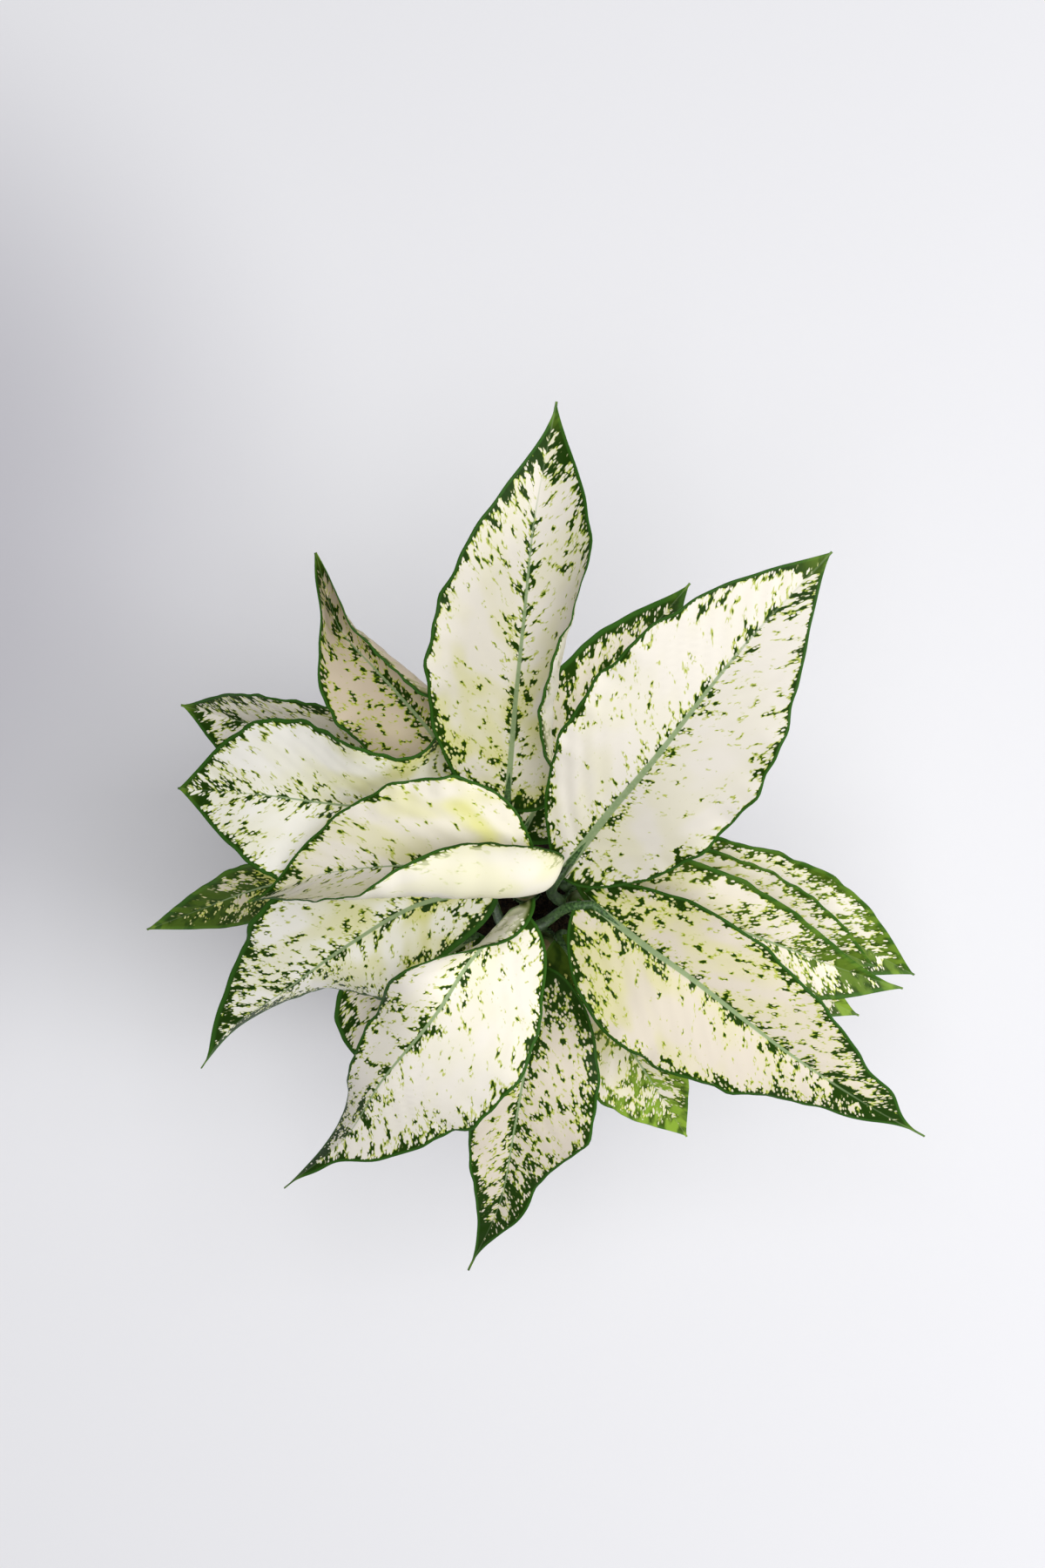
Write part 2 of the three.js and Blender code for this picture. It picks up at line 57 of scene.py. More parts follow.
def faceOutward():
    bpy.ops.object.mode_set(mode="EDIT")
    bpy.ops.mesh.select_all(action="SELECT")
    bpy.ops.mesh.normals_make_consistent(inside=False)
    bpy.ops.object.mode_set(mode="OBJECT")


def dress(obj, material):
    obj.data.materials.clear()
    obj.data.materials.append(material)


def linearColour(hexCode, alpha=1.0):
    # sRGB hex to the linear values that shaders take
    channels = [int(hexCode[k:k + 2], 16) / 255 for k in (1, 3, 5)]
    linear = [c / 12.92 if c <= 0.04045 else ((c + 0.055) / 1.055) ** 2.4 for c in channels]
    return (*linear, alpha)


def newMaterial(name):
    material = bpy.data.materials.new(name)
    material.use_nodes = True
    material.node_tree.nodes.clear()
    return material, material.node_tree


def addNode(tree, kind, settings=None, inputs=None):
    # adds a node, sets its settings, and gives each input a value or a link
    node = tree.nodes.new("ShaderNode" + kind)
    for key, value in (settings or {}).items():
        setattr(node, key, value)
    for key, value in (inputs or {}).items():
        if isinstance(value, bpy.types.NodeSocket):
            tree.links.new(value, node.inputs[key])
        else:
            node.inputs[key].default_value = value
    return node


def finishPiece(obj, name, slotName, *nodeNames):
    obj.name = name
    obj.data.name = name
    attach(obj, "root")
    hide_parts(*nodeNames)


# Camera straight above the plant, as in the photograph

view = {
    "height": 1500 * mm,        # lens above the floor
    "x": -14 * mm,
    "y": 68 * mm,
    "lens": 60,
    "sensor": 36,               # along the frame's long side
    "clip": (0.05, 20),         # nearest and farthest that is seen, in metres
}

cameraData = bpy.data.cameras.new("cameraAbove")
cameraData.lens = view["lens"]
cameraData.sensor_width = view["sensor"]
cameraData.clip_start, cameraData.clip_end = view["clip"]
camera = bpy.data.objects.new("cameraAbove", cameraData)
camera.location = (view["x"], view["y"], view["height"])
bpy.context.scene.collection.objects.link(camera)
bpy.context.scene.camera = camera

# Floor and soft light

studio = {
    # places and sizes in metres
    "floorSize": 40,
    "floorColour": "#E9E9EC",
    # a soft shadow painted on the floor off to the left: its colour, its middle and its reach
    "paintedShadowColour": "#C0BFC5",
    "paintedShadowPlace": (-0.44, 0.22, 0),
    "paintedShadowReach": (0.1, 0.36),    # painted shadow up to the first, pale from the second on
    "aim": (0, 0.03, 0.26),     # what the lamps point at
    "skyColour": "#F5F5F9",
    "skyStrength": 0.31,
    "lamps": [
        {"name": "panelOverhead", "place": (0.3, 0.05, 3.0), "size": 2.0, "watts": 55},
        {"name": "softboxRight", "place": (2.0, -0.3, 1.15), "size": 1.0, "watts": 27},
    ],
}


def paintedFloor():
    # matt painted board without any sheen: pale, and greyer off to the left, where a soft shadow is painted
    # into its colour
    material, tree = newMaterial("mattPaintedBoard")
    where = addNode(tree, "TexCoord").outputs["Object"]
    # painted shadow: the floor turns grey near a place off to the left
    away = addNode(tree, "VectorMath", {"operation": "DISTANCE"}, {0: where, 1: studio["paintedShadowPlace"]})
    near, far = studio["paintedShadowReach"]
    fade = addNode(tree, "MapRange", {"interpolation_type": "SMOOTHSTEP"}, {
        "Value": away.outputs["Value"], "From Min": near, "From Max": far})
    colour = addNode(tree, "Mix", {"data_type": "RGBA"}, {
        0: fade.outputs[0], 6: linearColour(studio["paintedShadowColour"]), 7: linearColour(studio["floorColour"])})
    shader = addNode(tree, "BsdfDiffuse", None, {"Color": colour.outputs[2]})
    addNode(tree, "OutputMaterial", None, {"Surface": shader.outputs[0]})
    return material


def addSoftbox(name, place, size, watts):
    data = bpy.data.lights.new(name, "AREA")
    data.shape = "SQUARE"
    data.size = size
    data.energy = watts
    light = bpy.data.objects.new(name, data)
    light.location = place
    aim = Vector(studio["aim"]) - Vector(place)
    light.rotation_euler = aim.to_track_quat("-Z", "Y").to_euler()
    bpy.context.scene.collection.objects.link(light)


deselectAll()
bpy.ops.mesh.primitive_plane_add(size=studio["floorSize"], location=(0, 0, 0))
floor = bpy.context.object
floor.name = "floor"
dress(floor, paintedFloor())

for lamp in studio["lamps"]:
    addSoftbox(lamp["name"], lamp["place"], lamp["size"], lamp["watts"])
world = bpy.data.worlds.new("studioSky")
world.use_nodes = True
world.node_tree.nodes["Background"].inputs[0].default_value = linearColour(studio["skyColour"])
world.node_tree.nodes["Background"].inputs[1].default_value = studio["skyStrength"]
bpy.context.scene.world = world
bpy.context.scene.view_settings.view_transform = "Standard"
print("camera, floor and lights set")

# Leaves. Sizes are in millimetres and angles in degrees, the same as in the solids, left half first.
# node and side place the sheath on its cane. stalk and spine are the petiole's and the midrib's run.
# Each half has its width, where it is widest, how round its base and how drawn out its tip are,
# how far its lobe reaches back, and its lift at the midrib and bend towards the margin. wave is how
# many slow waves a margin has, how high they are and where they begin. A dent is a notch in the
# outline: which half, where along the leaf, how long and how deep.
# Looks: speckle is how much green lies on the white, tip, base and flank how much more of it there
# is at the tip, at the base and beside the midrib, and rim how wide the green of the margin is.
# band is the pale midrib's half width in mm, yellow the warm tint of young tissue, lime how light
# the green is, and shade how much painted shade darkens the white to beige. What a leaf doesn't say
# is as in plainLeaf.

canes = [
    {"name": "stem_northwest", "x": -13, "y": 16, "top": 214},
    {"name": "stem_east", "x": 15, "y": 8, "top": 198},
    {"name": "stem_south", "x": -4, "y": -14, "top": 186},
]

plainLeaf = {
    "speckle": 0.0, "tip": 1.0, "base": 0.0, "flank": 1.0, "rim": 1.0, "band": 1.2, "lime": 0.0,
}

leaves = [
    {
        "name": "leaf_north", "cane": 0, "node": 192, "side": 125,
        "speckle": -0.03, "tip": 0.9, "base": 0.05, "flank": 0.9,
        "band": 1.5, "yellow": 0.6, "shade": 0.3,
        "stalk": [[-22, 34, 228], [-29, 50, 264]],
        "spine": [[-21, 61, 295], [-17, 107, 320], [-13, 145, 338], [-9, 183, 350], [1, 236, 352]],
        "width": [42, 44], "widest": [0.38, 0.42], "round": [0.5, 0.4],
        "taper": [1.8, 1.3], "lobe": [5, 6], "wave": [3, 1.5, 0.1],
        "lift": [[10, 8, 6, 10], [5, 5, 5, 10]],
        "bend": [[5, 5, 0, 0], [20, 125, 115, 40, 0]],
    },
    {
        "name": "leaf_northeast", "cane": 1, "node": 186, "side": 170,
        "speckle": -0.06, "tip": 0.7, "rim": 0.9, "band": 2.1, "yellow": 0.2, "shade": 0.28,
        "stalk": [[0, 16, 240], [2, 24, 288]],
        "spine": [[8, 33, 318], [25, 56, 340], [43, 78, 358], [80, 126, 378], [118, 167, 386]],
        "width": [42, 45], "widest": [0.42, 0.42], "round": [0.7, 0.5],
        "taper": [1.1, 1.35], "lobe": [10, 11], "wave": [3, 1.5, 0.3],
        "lift": [[16, 12, 8, 5], [16, 12, 8, 5]],
        "bend": [[-5, -5, 0, 0], [-5, -5, 0, 0]],
    },
    {
        "name": "leaf_north_inner", "cane": 0, "node": 165, "side": 70,
        "speckle": 0.02, "base": 0.08, "rim": 1.7, "yellow": 0.2, "shade": 0.45,
        "stalk": [[-8, 30, 225]],
        "spine": [[-15, 43, 266], [-7, 58, 278], [10, 90, 295], [32, 123, 309], [62, 159, 315]],
        "width": [25, 34], "widest": [0.5, 0.4], "round": [0.8, 0.6],
        "taper": [1.4, 1.3], "lobe": [3, 3], "wave": [3, 1.5, 0.6],
        "lift": [[15, 20, 20, 10], [5]],
        "bend": [[0], [0]],
    },
    {
        "name": "leaf_northwest", "cane": 0, "node": 156, "side": 100,
        "speckle": 0.04, "tip": 0.1, "rim": 0.9, "yellow": 0.1, "shade": 0.9,
        "stalk": [[-24, 42, 210], [-36, 58, 244]],
        "spine": [
            [-45, 71, 266], [-54, 88, 279], [-72, 110, 293], [-82, 121, 299],
            [-97, 138, 306], [-102, 151, 310], [-108, 173, 314],
        ],
        "width": [30, 36], "widest": [0.5, 0.35], "round": [0.6, 0.6],
        "taper": [1.2, 1.1], "lobe": [4, 4], "wave": [2, 1, 0.2],
        "lift": [[5, 5, 5, 22, 74, 62], [15, 15, 28, 44, 46]],
        "bend": [[0], [20, 85, 100, 60, 30]],
    },
    {
        "name": "leaf_west_upper", "cane": 0, "node": 147, "side": 130,
        "speckle": 0.03, "tip": 0.7, "yellow": 0.05, "shade": 0.3,
        "stalk": [[-34, 44, 200], [-52, 64, 238]],
        "spine": [[-64, 76, 250], [-97, 85, 260], [-130, 93, 260], [-179, 106, 238]],
        "width": [32, 30], "widest": [0.4, 0.4], "round": [0.6, 0.6],
        "taper": [1.3, 1.3], "lobe": [5, 5], "wave": [2, 1, 0.5],
        "lift": [[5], [40, 58, 45]],
        "bend": [[0], [0]],
    },
    {
        "name": "leaf_west", "cane": 0, "node": 183, "side": 165,
        "speckle": -0.06, "tip": 0.6, "rim": 1.3, "band": 1.0, "yellow": 0.65, "shade": 0.0,
        "stalk": [[-30, 27, 232], [-42, 44, 266]],
        "spine": [[-50, 56, 289], [-94, 58, 302], [-134, 63, 299], [-175, 66, 280]],
        "width": [42, 40], "widest": [0.4, 0.5], "round": [0.5, 0.28],
        "taper": [1.2, 1.2], "lobe": [5, 6], "wave": [3, 1.5, 0.8],
        "lift": [[5, 5, 3], [0, 45, 48, 28, 15, 10, 10]],
        "bend": [[0], [0]],
        "dents": [[1, 0.08, 0.05, -9]],
    },
    {
        "name": "leaf_center_west", "cane": 0, "node": 201, "side": 20,
        "speckle": -0.08, "tip": 0.5, "rim": 0.8, "band": 0.8, "yellow": 0.8, "shade": 0.3,
        "stalk": [[-6, 24, 255], [-6, 26, 300]],
        "spine": [[-6, 30, 322], [-42, 32, 334], [-76, 31, 332], [-105, 27, 322], [-140, 14, 302]],
        "width": [55, 41], "widest": [0.26, 0.3], "round": [0.2, 0.9],
        "taper": [1.4, 2.1], "lobe": [8, 0], "wave": [2, 1, 0],
        "lift": [[0, 0, 0, 22, 44, 52, 58, 66, 66], [20, 18, 12, 10, 10]],
        "bend": [[235, 232, 226, 146, 68, 44, 35, 30, 20], [0]],
    },
    {
        "name": "leaf_southwest", "cane": 2, "node": 165, "side": 150,
        "speckle": -0.01, "tip": 1.2, "flank": 0.9, "rim": 1.7,
        "band": 1.3, "yellow": 0.75, "shade": 0.0,
        "stalk": [[-24, 0, 225], [-28, 12, 258]],
        "spine": [
            [-30, 18, 278], [-62, 12, 287], [-95, -7, 281], [-125, -29, 260],
            [-157, -52, 233], [-172, -72, 215],
        ],
        "width": [32, 40], "widest": [0.33, 0.4], "round": [0.5, 0.5],
        "taper": [1.6, 2.0], "lobe": [5, 5], "wave": [3, 1.5, 0.4],
        "lift": [[0, 0, -10, -65, -75, -60], [8]],
        "bend": [[0], [0]],
    },
    {
        "name": "leaf_south_southwest", "cane": 0, "node": 174, "side": 270,
        "speckle": -0.02, "tip": 1.4, "flank": 0.75, "yellow": 0.15, "shade": 0.25,
        "stalk": [[-13, 5, 235], [-12, 9, 280]],
        "spine": [
            [-18, 8, 300], [-38, -13, 314], [-53, -36, 318], [-78, -67, 306],
            [-97, -97, 282], [-128, -125, 252],
        ],
        "width": [48, 26], "widest": [0.38, 0.4], "round": [0.4, 0.45],
        "taper": [2.3, 1.6], "lobe": [6, 13], "wave": [3, 2, 0.2],
        "lift": [[0], [75, 52, 0, -32, -42, -55, -60, -60]],
        "bend": [[0], [150, 90, 20, 0, 0, 0, 0, 0]],
        "dents": [[0, 0.8, 0.06, 5]],
    },
    {
        "name": "leaf_south", "cane": 2, "node": 156, "side": 250,
        "speckle": 0.05, "tip": 1.8, "base": 0.1, "flank": 0.8,
        "rim": 0.9, "band": 0.9, "yellow": 0.05, "shade": 0.6,
        "stalk": [[-10, -27, 205], [-9, -26, 240]],
        "spine": [
            [-5, -23, 262], [-13, -67, 272], [-18, -97, 260], [-25, -135, 234],
            [-41, -174, 200],
        ],
        "width": [37, 23], "widest": [0.35, 0.35], "round": [0.5, 0.5],
        "taper": [2.6, 1.9], "lobe": [5, 5], "wave": [3, 1.5, 0.9],
        "lift": [[8], [8]],
        "bend": [[0], [0]],
        "dents": [[0, 0.57, 0.11, 9]],
    },
    {
        "name": "leaf_southeast", "cane": 2, "node": 174, "side": 90,
        "tip": 1.6, "band": 1.7, "yellow": 0.42, "shade": 0.6,
        "stalk": [[-8, -1, 235], [-3, 3, 268], [8, 11, 288]],
        "spine": [
            [19, 12, 292], [42, -6, 300], [62, -20, 303], [107, -55, 290],
            [151, -85, 262], [180, -102, 240],
        ],
        "width": [34, 45], "widest": [0.34, 0.24], "round": [0.5, 0.5],
        "taper": [1.8, 2.6], "lobe": [8, 8], "wave": [3, 1.5, 0.5],
        "lift": [[12, 28, 20], [5, 0, -10, -15]],
        "bend": [[-5, -10, -10], [-10, -20, -10]],
        "dents": [[0, 0.83, 0.06, -4], [1, 0.8, 0.09, -4]],
    },
    {
        "name": "leaf_southeast_low", "cane": 2, "node": 147, "side": 20,
        "speckle": 0.06, "base": 0.3, "yellow": 0.8, "lime": 0.6, "shade": 0.4,
        "stalk": [[8, -8, 190], [5, -6, 216]],
        "spine": [[5, -9, 228], [24, -38, 236], [43, -68, 228], [68, -108, 196]],
        "width": [25, 30], "widest": [0.4, 0.4], "round": [0.5, 0.5],
        "taper": [1.2, 1.2], "lobe": [3, 3], "wave": [2, 1, 0.1],
        "lift": [[8], [8]],
        "bend": [[0], [0]],
    },
    {
        "name": "leaf_east_front", "cane": 1, "node": 165, "side": 130,
        "rim": 1.5, "yellow": 0.3, "lime": 0.25, "shade": 0.4,
        "stalk": [[6, 19, 215], [8, 22, 252]],
        "spine": [
            [23, 21, 270], [47, 13, 278], [73, 5, 280], [107, -8, 270],
            [135, -19, 256], [170, -31, 236],
        ],
        "width": [26, 28], "widest": [0.24, 0.4], "round": [0.4, 0.5],
        "taper": [1.9, 1.2], "lobe": [5, 14], "wave": [3, 1, 0.7],
        "lift": [[20, 32, 25], [0]],
        "bend": [[-10], [0]],
    },
    {
        "name": "leaf_east_middle", "cane": 1, "node": 156, "side": 15,
        "speckle": -0.01, "yellow": 0.3, "lime": 0.25, "shade": 0.4,
        "stalk": [[32, 11, 215], [30, 13, 238]],
        "spine": [[31, 18, 250], [69, 15, 258], [102, 3, 252], [133, -10, 240], [158, -21, 226]],
        "width": [26, 28], "widest": [0.38, 0.35], "round": [0.5, 0.5],
        "taper": [1.2, 1.2], "lobe": [5, 5], "wave": [2, 1, 0.3],
        "lift": [[25, 30, 20], [5]],
        "bend": [[0], [0]],
    },
    {
        "name": "leaf_east_rear", "cane": 1, "node": 147, "side": 60,
        "speckle": 0.01, "rim": 1.4, "yellow": 0.3, "lime": 0.3, "shade": 0.3,
        "stalk": [[27, 27, 205]],
        "spine": [[37, 35, 236], [70, 22, 242], [104, 10, 236], [133, -2, 224], [181, -27, 200]],
        "width": [28, 30], "widest": [0.45, 0.4], "round": [0.5, 0.8],
        "taper": [1.2, 1.2], "lobe": [5, 3], "wave": [3, 1.5, 0.6],
        "lift": [[25, 25, 15], [5]],
        "bend": [[0], [0]],
    },
    {
        "name": "leaf_east_low", "cane": 1, "node": 138, "side": -50,
        "speckle": 0.1, "yellow": 0.3, "lime": 0.6, "shade": 0.4,
        "stalk": [[30, 1, 185]],
        "spine": [[38, 8, 212], [66, -4, 222], [97, -20, 212], [129, -35, 196], [156, -49, 180]],
        "width": [26, 26], "widest": [0.4, 0.4], "round": [0.5, 0.5],
        "taper": [1.4, 1.2], "lobe": [3, 3], "wave": [2, 1, 0.4],
        "lift": [[8], [8]],
        "bend": [[0], [0]],
    },
    {
        "name": "leaf_west_low", "cane": 0, "node": 138, "side": 165,
        "speckle": 0.15, "rim": 1.6, "yellow": 2.5, "lime": 0.15, "shade": 0.6,
        "stalk": [[-36, 28, 185], [-54, 36, 220]],
        "spine": [[-65, 38, 234], [-107, 26, 238], [-146, 16, 226], [-173, 6, 210], [-202, -5, 192]],
        "width": [26, 18], "widest": [0.4, 0.4], "round": [0.5, 0.5],
        "taper": [1.2, 1.2], "lobe": [4, 4], "wave": [2, 1, 0.8],
        "lift": [[-30, -40, -30], [35, 40, 35]],
        "bend": [[0], [0]],
    },
    {
        "name": "leaf_southwest_low", "cane": 2, "node": 138, "side": 200,
        "speckle": 0.05, "tip": 0.5, "rim": 1.5, "yellow": 0.1, "shade": 0.4,
        "stalk": [[-24, -16, 190]],
        "spine": [[-37, -6, 228], [-65, -25, 234], [-82, -46, 228], [-89, -76, 206]],
        "width": [30, 28], "widest": [0.45, 0.45], "round": [0.5, 0.5],
        "taper": [1.2, 1.2], "lobe": [4, 4], "wave": [2, 1, 0.9],
        "lift": [[8], [8]],
        "bend": [[0], [0]],
    },
]

leafMake = {
    "rows": 90,             # faces along a blade
    "columns": 36,          # faces across it
    "bladeThickness": 0.5,
    "ribThickness": 2.6,    # blade and midrib together, at the blade's base
    "ribWidth": 1.7,
    "ribGroove": 0.45,      # dip along the midrib on the upper side
    "veinSpacing": 11,
    "veinDepth": 0.8,       # swelling between two side veins
    "ripple": 0.8,          # fine waves along the margin, up and down
    "ripples": (7, 17),     # how many of two kinds along a leaf
    "scallop": 0.02,        # waves in the leaf's own plane, as a share of its width
    "scallops": (6.3, 11.7),
    "lobeReach": 0.07,      # how fast the lobes end, as a share of the leaf's length
    "veinSlant": (0.9, 0.5),    # way ahead for each mm across, at the base and added up to the tip
    "veinArch": 160,        # the larger, the straighter the side veins run
    "ribDepth": 1.2,        # the petiole's middle under the blade's upper face
    "caneRadius": 6.5,
    "petioleRadius": 3,
    "petioleTaper": 0.25,
    "sheathGap": 0.4,
    "sheathOut": 1.3,       # from the gap to the sheath's outer face
    "sheathThickness": 1.2,
    "sheathHeight": 7.5,
    "sheathReach": 75,      # how far it clasps the cane to either side, in degrees
}


def smoothValue(values, t):
    # a smooth run through evenly spaced values
    if len(values) == 1:
        return np.full_like(t, values[0], dtype=float)
    last = len(values) - 1
    place = np.clip(t, 0, 1) * last
    i = np.minimum(place.astype(int), last - 1)
    x = place - i
    run = np.array([2 * values[0] - values[1], *values, 2 * values[-1] - values[-2]], float)
    p0, p1, p2, p3 = run[i], run[i + 1], run[i + 2], run[i + 3]
    cubic = (3 * p1 - p0 - 3 * p2 + p3) * x ** 3
    square = (2 * p0 - 5 * p1 + 4 * p2 - p3) * x ** 2
    return 0.5 * (2 * p1 + (p2 - p0) * x + square + cubic)


def curveThrough(points, steps=24):
    # a smooth line through points, evenly paced between near and far ones
    pts = np.array(points, float)
    pts = np.vstack([2 * pts[0] - pts[1], pts, 2 * pts[-1] - pts[-2]])
    line = []
    for k in range(1, len(pts) - 2):
        p0, p1, p2, p3 = pts[k - 1:k + 3]
        k1 = max(np.linalg.norm(p1 - p0), 1e-4) ** 0.5
        k2 = k1 + max(np.linalg.norm(p2 - p1), 1e-4) ** 0.5
        k3 = k2 + max(np.linalg.norm(p3 - p2), 1e-4) ** 0.5
        last = k == len(pts) - 3
        for s in range(steps + (1 if last else 0)):
            x = k1 + (k2 - k1) * s / steps
            a1 = (k1 - x) / k1 * p0 + x / k1 * p1
            a2 = (k2 - x) / (k2 - k1) * p1 + (x - k1) / (k2 - k1) * p2
            a3 = (k3 - x) / (k3 - k2) * p2 + (x - k2) / (k3 - k2) * p3
            b1 = (k2 - x) / k2 * a1 + x / k2 * a2
            b2 = (k3 - x) / (k3 - k1) * a2 + (x - k1) / (k3 - k1) * a3
            line.append((k2 - x) / (k2 - k1) * b1 + (x - k1) / (k2 - k1) * b2)
    return np.array(line)


class Run:
    # a line that gives its point and its direction at any share of its length
    def __init__(self, points):
        self.line = curveThrough(points)
        steps = np.linalg.norm(np.diff(self.line, axis=0), axis=1)
        self.reach = np.concatenate([[0], np.cumsum(steps)])
        self.length = self.reach[-1]

    def at(self, t):
        s = np.clip(t, 0, 1) * self.length
        return np.stack([np.interp(s, self.reach, self.line[:, k]) for k in range(3)], -1)

    def along(self, t):
        step = self.at(t + 0.03) - self.at(t - 0.03)
        return step / np.linalg.norm(step, axis=-1, keepdims=True)


def halfWidth(leaf, side, t):
    widest = leaf["widest"][side]
    near = (1 - (1 - np.minimum(t / widest, 1)) ** 2) ** leaf["round"][side]
    far = (1 - (np.clip(t - widest, 0, None) / (1 - widest)) ** 2) ** leaf["taper"][side]
    width = leaf["width"][side] * np.where(t < widest, near, far)
    for dented, place, span, depth in leaf.get("dents", []):
        if dented == side:
            width = width - depth * np.exp(-((t - place) / span) ** 2)
    return np.maximum(width, np.where(t < 0.5, 2.2, 0.5))       # never narrower than the midrib


def unevenWave(t, counts, shifts):
    # two waves of different lengths, so that no two stretches of a margin are alike
    first, second = (np.sin(2 * np.pi * (count * t + shift)) for count, shift in zip(counts, shifts))
    return first + 0.6 * second


def bladeSurface(leaf, number, t, q):
    # the upper face at t along the leaf and q across it, with its side veins, groove and ripple,
    # and what the leaf's colours are laid out by
    midrib = Run(leaf["spine"])
    point = midrib.at(t)
    along = midrib.along(t)
    right = np.cross(along, (0, 0, 1))
    right /= np.linalg.norm(right, axis=-1, keepdims=True)
    up = np.cross(right, along)
    reach = np.abs(q)
    turn = np.where(q < 0, -1.0, 1.0)
    pair = [{k: smoothValue(leaf[k][side], t) for k in ("lift", "bend")} for side in (0, 1)]
    lift = np.where(q < 0, pair[0]["lift"], pair[1]["lift"])
    bend = np.where(q < 0, pair[0]["bend"], pair[1]["bend"])
    width = np.where(q < 0, halfWidth(leaf, 0, t), halfWidth(leaf, 1, t))
    side = number + 2.4 * (q >= 0)
    scallop = unevenWave(t, leafMake["scallops"], (0.41 * side, 0.83 * side))
    width *= 1 + leafMake["scallop"] * scallop * np.sin(np.pi * t)
    lobe = np.where(q < 0, leaf["lobe"][0], leaf["lobe"][1])
    steps = 12
    stride = reach * width / steps
    out = np.zeros_like(t)
    rise = np.zeros_like(t)
    for k in range(steps):
        slope = np.radians(lift + bend * reach * (k + 0.5) / steps)
        out += np.cos(slope) * stride
        rise += np.sin(slope) * stride
    count, height, phase = leaf["wave"]
    swing = np.sin(2 * np.pi * (count * t + phase + 0.35 * (q >= 0)))
    middle = np.sin(np.pi * np.minimum(t * 1.3, 1))
    rise += height * swing * reach ** 3 * middle
    back = lobe * np.exp(-t / leafMake["lobeReach"]) * reach ** 1.5

    # side veins leave the midrib at about 45 degrees, nearer the tip ever more along it, and arch
    across = reach * width
    slant, slantMore = leafMake["veinSlant"]
    ahead = across * (slant + slantMore * t) + across ** 2 / leafMake["veinArch"]
    start = t * midrib.length - ahead
    pleat = start / leafMake["veinSpacing"] + 0.25 * np.sin(start / 19 + 2.1 * number + (q > 0))
    swell = np.abs(np.sin(np.pi * pleat)) ** 0.8 - 0.6
    swell *= 0.75 + 0.35 * np.sin(start / 13 + number)
    fade = np.clip(across / 7, 0, 1) * (1 - reach ** 4) * np.clip((1 - t) * 6, 0, 1)
    fade *= np.clip((start + 12) / 16, 0, 1)
    relief = leafMake["veinDepth"] * swell * fade
    relief -= leafMake["ribGroove"] * np.exp(-(across / leafMake["ribWidth"]) ** 2) * (1 - t)
    fine = unevenWave(t, leafMake["ripples"], (0.37 * side, 0.7 * side))
    relief += leafMake["ripple"] * fine * reach ** 5 * middle
    tilt = np.radians(lift + bend * reach)
    normal = (np.cos(tilt) * relief)[:, None] * up - (np.sin(tilt) * relief * turn)[:, None] * right
    place = point + (turn * out)[:, None] * right + rise[:, None] * up - back[:, None] * along + normal
    rib = np.exp(-(across / leafMake["ribWidth"]) ** 2) * (1 - t) ** 0.8
    # where the colours are counted from: along the side veins, ever more lengthwise to the tip
    leafPlace = np.stack([t * midrib.length - across * (0.5 + 0.8 * t ** 2), across * turn, 0 * t], 1)
    leafPlace += (300 * number, 170 * number, 0)
    return place, {"leafPlace": leafPlace, "across": across, "rib": rib}


def marginDistance(points, t, q):
    # how far each point lies from the nearest margin
    nearest = np.full(len(points), 1e9)
    for side in (-1, 1):
        onEdge = np.abs(q - side) < 1e-6
        order = np.argsort(t[onEdge])
        edge = points[onEdge][order]
        a, b = edge[:-1], edge[1:]
        span = b - a
        size = np.maximum((span ** 2).sum(1), 1e-9)
        for first in range(0, len(points), 1200):
            p = points[first:first + 1200, None, :]
            share = np.clip(((p - a) * span).sum(2) / size, 0, 1)
            gap = np.linalg.norm(p - (a + share[..., None] * span), axis=2).min(1)
            nearest[first:first + 1200] = np.minimum(nearest[first:first + 1200], gap)
    return nearest


def setValues(mesh, name, columns):
    # stores one or three values for each point under a name that the material reads
    kind, key = ("FLOAT_VECTOR", "vector") if len(columns) == 3 else ("FLOAT", "value")
    attribute = mesh.attributes.new(name, kind, "POINT")
    attribute.data.foreach_set(key, np.stack(columns, 1).astype(np.float32).ravel())


def ease(t, low, high):
    # 0 up to low, 1 from high on, and a smooth rise between them
    x = np.clip((t - low) / (high - low), 0, 1)
    return x * x * (3 - 2 * x)


